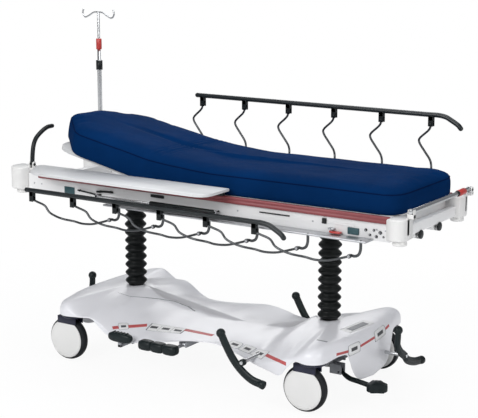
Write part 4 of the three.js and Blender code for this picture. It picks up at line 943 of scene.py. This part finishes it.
def mattress_outline(inset, steps=18):
    foot, head, half = PAD_FOOT - inset, PAD_HEAD + inset, PAD_HALF - inset
    rf = max(PAD_FOOT_ROUND - inset, 8.0)
    ease = inset * (math.sqrt(2) - 1)
    cut = (head, half - CUT_WIDE + ease), (head + CUT_LONG - ease, half)
    corners = [cut[0], cut[1], (foot, half), (foot, -half), (cut[1][0], -cut[1][1]), (cut[0][0], -cut[0][1])]
    shape = rounded(corners, [CUT_ROUND, CUT_ROUND * 1.6, rf, rf, CUT_ROUND * 1.6, CUT_ROUND], steps)
    out = []
    for a, b in zip(shape, shape[1:] + shape[:1]):
        runs = max(1, round(math.dist(a, b) / (16 if inset < 60 else 40)))
        out.extend((a[0] + (b[0] - a[0]) * k / runs, a[1] + (b[1] - a[1]) * k / runs) for k in range(runs))
    return out


def bend_up(x, y, z):
    """Bends the flat mattress over the hinge to the backrest's rest angle, on one arc."""
    dx = x - HINGE_X
    if dx >= BEND_REACH:
        return x, y, z
    height = z - HINGE_Z
    radius = 2 * BEND_REACH / REST
    turn = min(REST, (BEND_REACH - dx) / radius)
    beyond = max(0.0, -BEND_REACH - dx)
    px = HINGE_X + BEND_REACH - (radius - height) * math.sin(turn) - math.cos(turn) * beyond
    pz = HINGE_Z + radius - (radius - height) * math.cos(turn) + math.sin(turn) * beyond
    return px, y, pz


def pad_rise(x):
    """How much fuller the head part is than the seat, and the cover over the fold."""
    return 1 + 0.2 * smooth(120, -200, x) + 0.05 * math.exp(-((x + 330) / 170) ** 2)


def flat_pad():
    """The cushion as a stack of flat slabs' outlines, before it is inflated."""
    outline = mattress_outline(0)
    count = len(outline)

    def ring(height, inset):
        row = []
        for i, (x, y) in enumerate(outline):
            ahead, behind = outline[(i + 1) % count], outline[i - 1]
            normal = Vector((ahead[1] - behind[1], behind[0] - ahead[0])).normalized()
            near = max(PAD_HEAD + 250.0, min(PAD_FOOT - 250.0, x))
            pull = Vector((near - x, -y))
            move = normal * inset
            if inset > CUT_ROUND / 2:
                move = pull * min(1.0, inset / 300.0)
            row.append(at(x + move.x, y + move.y, PAD_BASE + height * pad_rise(x)))
        return row

    rings = [ring(0, inset) for inset in (250, 160, 80)]
    rings += [ring(height, inset + 2.5) for height, inset in PAD_LEVELS]
    shape = Shape()
    shape.rings(rings, "fabric")
    return shape.finish("mattress_pad", None, "mattress_cover", angle=180)


def puff(piece):
    """Remeshes the cushion, inflates its cover as cloth and keeps the swell inside a limit."""
    remesh = piece.modifiers.new("voxels", "REMESH")
    remesh.mode = "VOXEL"
    remesh.voxel_size = VOXEL
    mesh = evaluated(piece)
    piece.modifiers.clear()
    piece.data = mesh
    start = np.empty(len(mesh.vertices) * 3)
    mesh.vertices.foreach_get("co", start)
    cloth = piece.modifiers.new("cover", "CLOTH")
    cloth.settings.use_pressure = True
    cloth.settings.uniform_pressure_force = 4
    cloth.settings.effector_weights.gravity = 0
    cloth.settings.quality = 5
    cloth.collision_settings.use_collision = False
    scene = bpy.context.scene
    for step in range(1, SIM_FRAMES + 1):
        scene.frame_set(step)
    swollen = evaluated(piece)
    end = np.empty(len(swollen.vertices) * 3)
    swollen.vertices.foreach_get("co", end)
    piece.modifiers.clear()
    scene.frame_set(1)
    start, end = start.reshape(-1, 3), end.reshape(-1, 3)
    move = end - start
    size = np.linalg.norm(move, axis=1, keepdims=True)
    move *= PUFF_LIMIT * np.tanh(size / PUFF_LIMIT) / np.maximum(size, 1e-9)
    # The underside stays flat on the deck.
    above = (start[:, 2:3] - PAD_BASE * MM) / 0.012
    move[:, 2:3] *= np.clip(above, 0, 1)
    mesh.vertices.foreach_set("co", (start + move).ravel())
    mesh.update()


def bend_cover(piece):
    """Draws slow waves and the creases at the hinge into the cover, then bends it."""
    for v in piece.data.vertices:
        x, y, z = v.co.x / MM - SHIFT[0], v.co.y / MM - SHIFT[1], v.co.z / MM
        top = smooth(PAD_BASE + 64, PAD_BASE + 104, z)
        wave = noise.noise(Vector((x * 0.006, y * 0.009, 7.0))) * 2.2
        wave += noise.noise(Vector((x * 0.02, y * 0.024, 10.0))) * 0.6
        for place, depth, width in CREASES:
            sway = y * 0.05 + 10 * noise.noise(Vector((y * 0.006, place, 0.0)))
            fade = smooth(-310, -150, y) * (0.5 + 0.5 * smooth(320, 60, y))
            wave -= depth * fade * math.exp(-((x - place - sway) / width) ** 2)
            wave += 0.5 * depth * fade * math.exp(-((x - place - sway - width * 1.9) / width) ** 2)
        v.co = at(*bend_up(x, max(-PAD_REACH, min(PAD_REACH, y)), z + wave * top))
    piece.data.update()
    for face in piece.data.polygons:
        face.use_smooth = True


def make_piping(pad):
    """The seam cord round the top edge, laid on the finished cover."""
    cover = cover_of(pad)
    points = []
    for x, y in mattress_outline(SEAM_INSET):
        place = at(*bend_up(x, y, PAD_BASE + SEAM_HEIGHT * pad_rise(x)))
        points.append(cover.find_nearest(place)[0])
    count = len(points)
    points = [(points[i - 1] + points[i] * 2 + points[(i + 1) % count]) / 4 for i in range(count)]
    rings = []
    for i in range(count):
        way = (points[(i + 1) % count] - points[i - 1]).normalized()
        side = way.cross(Vector((0, 0, 1))).normalized()
        up = side.cross(way)
        rings.append(circle(points[i], side, up, PIPING, 8))
    rings.append(rings[0])
    shape = Shape()
    shape.rings(rings, "piping", closed_ends=False)
    return shape.finish("mattress_piping", None, "mattress_cover", angle=180, weld=True)


def make_mattress():
    pad = flat_pad()
    puff(pad)
    pad.data.materials.clear()
    pad.data.materials.append(mats["fabric"])
    bend_cover(pad)
    piping = make_piping(pad)
    for piece in (pad, piping):
        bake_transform(piece)
    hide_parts("mattress_seat", "mattress_back", "mattress_fold")


make_mattress()


# Siderails

FIRST_X, PITCH, PIVOT_Z = -394, 244, 709
NEAR_ROD = [(-434, 50, 1), (-405, 42, 1), (-358, 28, 1), (-334, 2, 1), (-299, -12, 1), (-252, -21, 1),
            (-205, -31, 0), (-160, -36, 0), (-100, -31, 0), (-50, -17, 0), (0, 0, 0)]
FAR_ROD = [(-16, 437, 1), (-24, 414, 1), (-72, 366, 1), (-70, 350, 1), (-44, 314, 1), (-16, 276, 1),
           (-10, 252, 1), (0, 205, 0), (0, 140, 0), (0, 70, 0), (0, 0, 0)]


def make_rails():
    for sy, side in SIDES:
        path = FAR_ROD if side == "far" else NEAR_ROD
        pin = path[0]
        for i in range(6):
            ox = FIRST_X + i * PITCH
            shape = Shape()
            points = [(ox + x, sy * (395 if outer else 371), PIVOT_Z + z) for x, z, outer in path]
            shape.tube(curve(points, 5), 5.0, "rod", 14)
            for p in (points[0], points[-1]):
                ring_eye(shape, p, 5.6, 9, 4.6, "rod", "Y", 0.8)
            shape.finish(f"{side}_rod_{i + 1}", f"{side}_arm_{i + 1}", "plated_steel",
                         [f"{side}_spindle_{i + 1}"])
        shape = Shape()
        x, z, y = FIRST_X + pin[0], PIVOT_Z + pin[1], sy * 395
        axis, bend_x, tip_x = z + 42, x + 1258, x + 1370
        run = tip_x - bend_x
        line = [(x - 33, y, axis), (x + 300, y, axis), (x + 700, y, axis), (bend_x - 60, y, axis),
                (bend_x, y, axis), (bend_x + run * 0.3, y, axis - 6), (bend_x + run / 2, y, axis - 17),
                (bend_x + run * 0.82, y, axis - 38), (tip_x - 9, y, axis - 50)]
        shape.tube(curve(line, 6), 11, "rail", 20, round_ends=True)
        shape.rod((x - 34, y, axis), (x - 30, y, axis), 11.4, "dark", 20, 0.6)
        for i in range(6):
            px = x + i * PITCH
            for cheek in cheeks(y, 6.2, 10):
                shape.box((px - 12, px + 12), cheek, (z - 9.5, axis - 4), "dark", 1.6)
            shape.box((px - 12, px + 12), (y - 10, y + 10), (z + 15.2, axis - 1), "dark", 2)
            shape.rod((px, y - 11, z), (px, y + 11, z), 4, "brushed", 20, 0.6)
            shape.rod((px, y - 12, z), (px, y - 10, z), 6, "dark", 20, 0.5)
            shape.rod((px, y + 10, z), (px, y + 12, z), 6, "dark", 20, 0.5)
        shape.finish(f"{side}_rail_tube", f"{side}_rail", "rail_black", [f"{side}_top_rail"])
        shape = Shape()
        shape.box((-440, 892), mirror((290.4, 360), sy), (766, 774), "brushed", 2)
        for i in range(6):
            ox, hy = FIRST_X + i * PITCH, sy * 354
            points = curve([(ox + 42, hy, 771), (ox + 41, hy, 735), (ox + 33, hy, 716), (ox + 16, hy, 707.5),
                            (ox, hy, 709)], 6)
            shape.tube(points, 6.0, "rod", 16, round_ends=True)
            inner, outer = (354, 377.6) if sy > 0 else (-377.6, -354)
            shape.rod((ox, inner, 709), (ox, outer, 709), 4, "brushed", 20, 0.6)
            tip = outer if sy > 0 else inner
            shape.rod((ox, tip, 709), (ox, tip + sy * 1.6, 709), 6, "brushed", 20, 0.5)
        shape.finish(f"{side}_pivot_bar", "litter", "rail_steel", [f"{side}_pivot_rail"])


make_rails()


# Small fittings along the near side of the litter

def make_side_fittings():
    face = -290.2
    shape = Shape()
    shape.box((-721, -660), (face - 1.6, face), (778, 816), "teal", 0.6)
    shape.tube(curve([(-632, face - 9, 808), (-570, face - 9, 803), (-503, face - 9, 796)], 6), 4, "dark", 14,
               round_ends=True)
    shape.tube(curve([(-520, face - 9, 813), (-476, face - 9, 818), (-433, face - 9, 819)], 6), 5, "dark", 14,
               round_ends=True)
    for px, pz in ((-624, 807), (-512, 797), (-508, 814), (-446, 819)):
        shape.rod((px, face, pz), (px, face - 12, pz), 5, "dark", 18, 1)
    shape.box((-219, -147), (face - 8, face), (821, 834), "dark", 3)
    shape.box((351, 499), (face - 6, face), (818, 823), "dark", 1.5)
    shape.box((656, 675), (face - 8, face), (809, 832), "dark", 2)
    shape.box((681, 806), (face - 3, face), (811, 821), "label", 1)
    shape.box((775, 826), (face - 6, face), (780, 808), "teal", 1.5)
    bolts = ((857, 806, 6), (876, 788, 5), (894, 809, 5), (905, 784, 6), (922, 802, 7), (937, 786, 4))
    for px, pz, radius in bolts:
        shape.rod((px, face, pz), (px, face - 5, pz), radius, "dark", 20, 1)
        shape.rod((px, face - 4, pz), (px, face - 6.5, pz), radius * 0.45, "brushed", 6, 0.4)
    shape.finish("near_side_fittings", "litter", "litter_paint")


make_side_fittings()


# Drip poles

def make_poles():
    x, y, z = -981, 306, 900
    shape = Shape()
    wall = [(0, 926), (9.3, 926), (9.3, 1338), (15, 1338), (16, 1336), (16, 1290), (14.5, 1287), (11, 1286),
            (11, 913), (10, 912), (0, 912)]
    shape.lathe(wall, (x, y, 0), "chrome", "Z", 32)
    collar = [(11.2, 1290), (16.3, 1290), (16.3, 1336), (11.2, 1336)]
    shape.lathe(collar, (x, y, 0), "dark", "Z", 32, closed=True)
    shape.box((x - 7, x + 7), (y - 8, y + 8), (904, 920), "chrome", 1)
    ring_eye(shape, (x, y, z), 7.4, 10, 5.3, "chrome")
    shape.finish("pole_base_tube", "pole_base", "plated_steel", ["drip_pole_base"])
    shape = Shape()
    wall = [(0, 945), (7.3, 945), (7.3, 1445), (9, 1445), (9, 931), (8, 930), (0, 930)]
    shape.lathe(wall, (x, y, 0), "chrome", "Z", 28)
    collar = [(9.1, 1391), (13, 1391), (14, 1393), (14, 1441), (12, 1445), (9.1, 1445)]
    shape.lathe(collar, (x, y, 0), "latch", "Z", 32, closed=True)
    shape.finish("pole_middle_tube", "pole_middle", "plated_steel", ["drip_pole_middle"])
    shape = Shape()
    shape.tube([at(x, y, 965), at(x, y, 1200), at(x, y, 1574)], 6.4, "chrome", 20, round_ends=True)
    hooks = [(-94, 1590), (-99, 1566), (-84, 1549), (-60, 1557), (-28, 1574), (0, 1576),
             (28, 1574), (60, 1557), (84, 1549), (99, 1566), (94, 1590)]
    shape.tube(curve([(x + hx, y, hz) for hx, hz in hooks], 6), 4, "chrome", 14)
    shape.finish("pole_top_hooks", "pole_top", "plated_steel", ["drip_pole_top"])

    x, y, z = 1049, 290, 900
    shape = Shape()
    shape.rod((x, 278, z), (x, -284, z), 9.5, "chrome", 32, 1)
    shape.rod((x, 167, z), (x, 230, z), 14, "latch", 32, 3)
    shape.rod((x, 156, z), (x, 168, z), 12, "dark", 32, 2)
    shape.box((x - 7, x + 7), (270, 284.7), (z - 8, z + 8), "chrome", 1)
    ring_eye(shape, (x, y, z), 7.4, 10, 5.3, "chrome")
    shape.finish("stowed_pole_tube", "stowed_pole", "plated_steel", ["stowed_drip_pole"])


make_poles()


# Push handle, side board, gas spring, latch

def make_fittings():
    x, y, z = -940, -262, 897
    shape = Shape()
    path = [(-262, 904), (-259, 940), (-251, 980), (-235, 1010), (-200, 1036), (-149, 1057), (-114, 1059)]
    shape.tube(curve([(x, p[0], p[1]) for p in path], 6), 10.5, "dark", 20, round_ends=True)
    ring_eye(shape, (x, y, z), 7.4, 11, 5.3, "dark")
    shape.finish("push_handle_bar", "push_handle", "handle_black", ["near_push_handle"])

    shape = Shape()
    outline = [(-850, 330), (-790, 447), (-740, 478), (-680, 488), (-300, 490), (150, 490), (183, 480),
               (200, 458), (204, 430), (204, 298), (-832, 298), (-850, 312)]
    radii = [20, 60, 60, 80, 400, 60, 30, 30, 40, 6, 14, 10]
    shape.prism(rounded([(px, -py) for px, py in outline], radii, 6), (895, 906), "board", 3, 3)
    for cx in (-760, -420, -120, 150):
        shape.box((cx - 30, cx + 30), (-314, -298), (872.4, 896), "dark", 2)
    shape.finish("side_board_panel", "board", "board_grey", ["side_board"])

    shape = Shape()
    y, z = -320, 799
    shape.rod((-505, y, z), (-190, y, z), 4, "chrome", 20, 0.5)
    shape.rod((-204, y, z), (143, y, z), 10, "dark", 32, 2)
    for ex in (-505, 143):
        ring_eye(shape, (ex, y, z), 6, 9, 4.5, "brushed", "Y", 0.8)
    shape.finish("gas_spring_tube", "litter", "black_plastic", ["backrest_gas_spring"])

    shape = Shape()
    shape.box((707, 751), (-320, -296), (779, 786), "latch", 2.5, 3)
    ring_eye(shape, (704, -304, 782.5), 3.5, 8, 3.4, "latch", "Z", 0.8)
    shape.finish("rail_latch_lever", "latch", "latch_red", ["near_rail_latch"])


make_fittings()


# Base frame under the hood

def make_base():
    shape = Shape()
    for sx, end in ENDS:
        x = sx * CASTER_X
        shape.box((x - 25, x + 25), (-352, 352), (236, 262), "steel_paint", 3)
        seat = sx * COLUMN_X
        for px, py in (((-100, -32), (-130, 130)), ((32, 100), (-130, 130)), ((-32, 32), (-130, -32)),
                       ((-32, 32), (32, 130))):
            shape.box((seat + px[0], seat + px[1]), py, (184, 190), "steel_paint", 1)
        shape.box(mirror((618, 628), sx), (-132, 132), (148, 262), "steel_paint", 1.5)
        for sy, side in SIDES:
            shape.box(mirror((556, 665), sx), mirror((86, 94), sy), (166, 261), "steel_paint", 1)
            px, py = sx * CASTER_X, sy * CASTER_Y
            shape.lathe([(14.4, 213.2), (53, 213.2), (57, 216), (57, 228), (55, 231), (24, 231), (24, 249),
                         (14.4, 249)], (px, py, 0), "navy_plastic", "Z", 48, closed=True)
        shape.rod((sx * 600, 117, 163), (sx * 858, 117, 163), 8, "chrome", 24, 1)
    for sy, side in SIDES:
        shape.box((-600, 600), mirror((70, 110), sy), (165, 205), "steel_paint", 3)
    shape.rod((350, -80, 190), (350, -433, 190), 8, "chrome", 24, 1)
    shape.rod((265, 80, 161), (265, 364, 161), 8, "chrome", 24, 1)
    for px, pz, top in ((-318, 146, 170), (-20, 180, 194)):
        for cheek in cheeks(px, 11.4, 20):
            shape.box(cheek, (-339, -100), (pz - 10, top), "steel_paint", 1.5)
        shape.rod((px - 20, -328, pz), (px + 20, -328, pz), 5, "chrome", 20, 0.6)
    for cheek in cheeks(-125, 11.4, 20):
        shape.box((618, 674), cheek, (116, 160), "steel_paint", 1.5)
    shape.rod((662, -145, 128), (662, -105, 128), 5, "chrome", 20, 0.6)
    shape.finish("base_weldment", "base", "base_steel", ["base_frame"])


make_base()


# Steering levers and pedals

def lever(where, path, place, across, web):
    """A flat rubber-covered lever with a round knob at its upper end and a tread pad at its foot."""
    shape = Shape()
    points = [place(p) for p in path]
    line = curve(points, 8)
    shape.tube(line, 11, "grip", 28, across=across, breadth=1.7)
    face = Vector(across)
    ways = [(line[min(i + 1, len(line) - 1)] - line[max(i - 1, 0)]).normalized() for i in range(len(line))]
    for groove in (-0.55, 0.55):
        rib = [p + face * 0.0104 + way.cross(face) * 0.011 * groove for p, way in zip(line, ways)]
        shape.tube(rib[3:-3], 1.5, "grip", 8)
    knob = [(20 * math.sin(t), -20 * math.cos(t)) for t in (math.pi * k / 14 for k in range(15))]
    knob = [(max(r, 0.0) if 0 < i < 14 else 0.0, h) for i, (r, h) in enumerate(knob)]
    shape.lathe(knob, points[0], "grip", "Z", 36)
    end, before = at(*points[-1]), at(*points[-2])
    reach = (end - before).normalized()
    stops = [(-0.012, 12), (-0.004, 16), (0.002, 18.4), (0.012, 19), (0.017, 18.2), (0.019, 15.5)]
    shape.tube([end + reach * d for d, _ in stops], [r for _, r in stops], "grip", 32)
    hub = place((0, 0))
    axis = "Y" if across[1] else "X"
    ring_eye(shape, hub, 10.5, 14.5, 8.4, "grip", axis, 1.1, 32)
    if web:
        shape.rod(place((-16, -26)), place((0, 0)), 6.2, "grip", 16, 1)
    shape.finish(f"{where}_lever_grip", f"{where}_lever", "handle_black", [f"{where}_steer_lever"])


def make_levers():
    side_path = [(-111, 111), (-85, 63), (-49, 7), (-3, -39), (47, -69), (91, -79)]
    end_path = [(-67, 132), (-68, 100), (-70, 68), (-39, 27), (0, 0), (26, -25), (98, -54), (163, -66)]
    for where, x, y, z in (("near", 350, -420, 190), ("far", 265, 350, 161)):
        lever(where, side_path, lambda p: (x + p[0], y, z + p[1]), (0, 1, 0), True)
    for where, x in (("foot", 845), ("head", -845)):
        lever(where, end_path, lambda p: (x, 117 + p[0], 163 + p[1]), (1, 0, 0), False)


make_levers()


def superellipsoid(shape, centre, half, material, power=2.6, rows=16, cols=32):
    rings = []
    for j in range(rows + 1):
        v = -math.pi / 2 + math.pi * j / rows
        cv, sv = math.cos(v), math.sin(v)
        ring = []
        for i in range(cols):
            u = 2 * math.pi * i / cols
            p = [abs(c) ** (2 / power) * (1 if c >= 0 else -1)
                 for c in (math.cos(u) * cv, math.sin(u) * cv, sv)]
            ring.append(at(*[centre[k] + half[k] * p[k] for k in range(3)]))
        rings.append(ring if 0 < j < rows else [ring[0]])
    shape.rings(rings, material)


def make_pedals():
    x, y, z = 662, -125, 128
    shape = Shape()
    ring_eye(shape, (x, y, z), 11, 10, 5.3, "grip", "Y", 0.8)
    arm = curve([(x + 4, y, z - 3), (684, y, 113), (706, y, 102), (750, y, 96), (806, y, 88)], 6)
    shape.tube(arm, [8 + 3 * smooth(0, 0.4, i / (len(arm) - 1)) for i in range(len(arm))], "grip", 20)
    outline = []
    for i in range(72):
        t = 2 * math.pi * i / 72
        r = 41 + 7.5 * math.cos(3 * t)
        outline.append((838 + r * math.cos(t), y + r * math.sin(t)))
    shape.prism(outline, (71.5, 104.5), "grip", 8, 5)
    shape.finish("foot_pump_pad", "foot_pump", "black_plastic", ["foot_pump_pedal"])

    x, z, pad_y, pad_z = -318, 146, -404, 182
    shape = Shape()
    superellipsoid(shape, (x, pad_y, pad_z), (65, 21, 22.5), "grip", 3.0)
    for rib in (-36, -18, 0, 18, 36):
        shape.box((x + rib - 3, x + rib + 3), (pad_y - 14, pad_y + 12), (198, 206.5), "grip", 2)
    shape.box((x - 9, x + 9), (pad_y - 9, pad_y + 4.5), (137, 176), "steel_paint", 2)
    shape.box((x - 9, x + 9), (pad_y - 9, -338), (137, 150.5), "steel_paint", 2)
    ring_eye(shape, (x, -328, z), 11, 10, 5.3, "steel_paint")
    shape.finish("near_pump_pad", "near_pump", "black_plastic", ["near_pump_pedal"])

    x, z, pad_x, pad_y, pad_z = -20, 180, -90, -424, 180
    shape = Shape()
    shape.box((x - 9, x + 9), (pad_y, -338), (175.5, 184.5), "brushed", 2)
    ring_eye(shape, (x, -328, z), 11, 10, 5.3, "brushed")
    step = 98 / 3
    for i in range(3):
        centre = (pad_x - 98 + step * (2 * i + 1), pad_y, pad_z)
        superellipsoid(shape, centre, (step * 1.12, 27, 22.5), "grip", 3.6)
    shape.finish("near_release_pad", "near_release", "black_plastic", ["near_release_pedal"])


make_pedals()


# Floor, backdrop, light

WHITE, SKY, SKY_STRENGTH = (1, 1, 1, 1), (0.93, 0.95, 1.0, 1), 0.28
# The floor's half size, and the distances between which its glow grows from least to full, in metres
FLOOR, GLOW_FROM, GLOW_TO, GLOW_LEAST = 14.0, 0.9, 2.6, 0.93


def make_stage():
    world = bpy.data.worlds.new("world")
    bpy.context.scene.world = world
    world.use_nodes = True
    tree = world.node_tree
    link = tree.links.new
    background = tree.nodes["Background"]
    path = tree.nodes.new("ShaderNodeLightPath")
    white = put(tree.nodes.new("ShaderNodeBackground"), Color=WHITE, Strength=1.0)
    put(background, Color=SKY, Strength=SKY_STRENGTH)
    pick = tree.nodes.new("ShaderNodeMath")
    pick.operation = "MAXIMUM"
    link(path.outputs["Is Camera Ray"], pick.inputs[0])
    link(path.outputs["Is Transmission Ray"], pick.inputs[1])
    mix = tree.nodes.new("ShaderNodeMixShader")
    link(pick.outputs["Value"], mix.inputs["Fac"])
    link(background.outputs["Background"], mix.inputs[1])
    link(white.outputs["Background"], mix.inputs[2])
    link(mix.outputs["Shader"], tree.nodes["World Output"].inputs["Surface"])

    mesh = bpy.data.meshes.new("floor")
    corners = [(-1, -1), (1, -1), (1, 1), (-1, 1)]
    mesh.from_pydata([(x * FLOOR, y * FLOOR, 0) for x, y in corners], [], [(0, 1, 2, 3)])
    floor = bpy.data.objects.new("floor", mesh)
    bpy.context.scene.collection.objects.link(floor)
    material = bpy.data.materials.new("floor")
    material.use_nodes = True
    tree = material.node_tree
    link = tree.links.new
    shader = put(tree.nodes["Principled BSDF"], Base_Color=(0.95, 0.95, 0.95, 1), Roughness=0.9,
                 Specular_IOR_Level=0.1)
    glow = put(tree.nodes.new("ShaderNodeEmission"), Color=WHITE, Strength=1.0)
    # The glow is full away from the object, and under it leaves room for the shadow.
    place = tree.nodes.new("ShaderNodeTexCoord")
    reach = tree.nodes.new("ShaderNodeVectorMath")
    reach.operation = "LENGTH"
    link(place.outputs["Object"], reach.inputs[0])
    share = tree.nodes.new("ShaderNodeMapRange")
    share.interpolation_type = "SMOOTHSTEP"
    put(share, From_Min=GLOW_FROM, From_Max=GLOW_TO, To_Min=GLOW_LEAST, To_Max=1.0)
    link(reach.outputs["Value"], share.inputs["Value"])
    path = tree.nodes.new("ShaderNodeLightPath")
    rays = tree.nodes.new("ShaderNodeMath")
    rays.operation = "MULTIPLY"
    link(path.outputs["Is Camera Ray"], rays.inputs[0])
    link(share.outputs["Result"], rays.inputs[1])
    mix = tree.nodes.new("ShaderNodeMixShader")
    link(rays.outputs["Value"], mix.inputs["Fac"])
    link(shader.outputs["BSDF"], mix.inputs[1])
    link(glow.outputs["Emission"], mix.inputs[2])
    link(mix.outputs["Shader"], tree.nodes["Material Output"].inputs["Surface"])
    mesh.materials.append(material)


# Name, place, aim and size in metres, power in watts and colour
LAMPS = (
    ("key", (-0.5, -4.6, 3.0), (0, 0, 0.7), (3.4, 2.2), 150),
    ("top", (0.2, 0.4, 4.4), (0, 0, 0.6), (4.2, 3.0), 95, (0.96, 0.98, 1.0)),
    ("side", (4.8, -1.2, 2.2), (0, 0, 0.7), (2.6, 2.2), 60),
    ("back", (-2.6, 4.2, 2.8), (0, 0, 0.8), (3.0, 2.2), 55),
)


def area_light(name, place, aim, size, power, color=(1, 1, 1)):
    data = bpy.data.lights.new(name, "AREA")
    data.shape = "RECTANGLE"
    data.size, data.size_y = size
    data.energy = power
    data.color = color
    light = bpy.data.objects.new(name, data)
    light.location = place
    light.rotation_euler = (Vector(aim) - Vector(place)).to_track_quat("-Z", "Y").to_euler()
    bpy.context.scene.collection.objects.link(light)


make_stage()
for lamp in LAMPS:
    area_light(*lamp)
bpy.context.scene.view_settings.view_transform = "Standard"
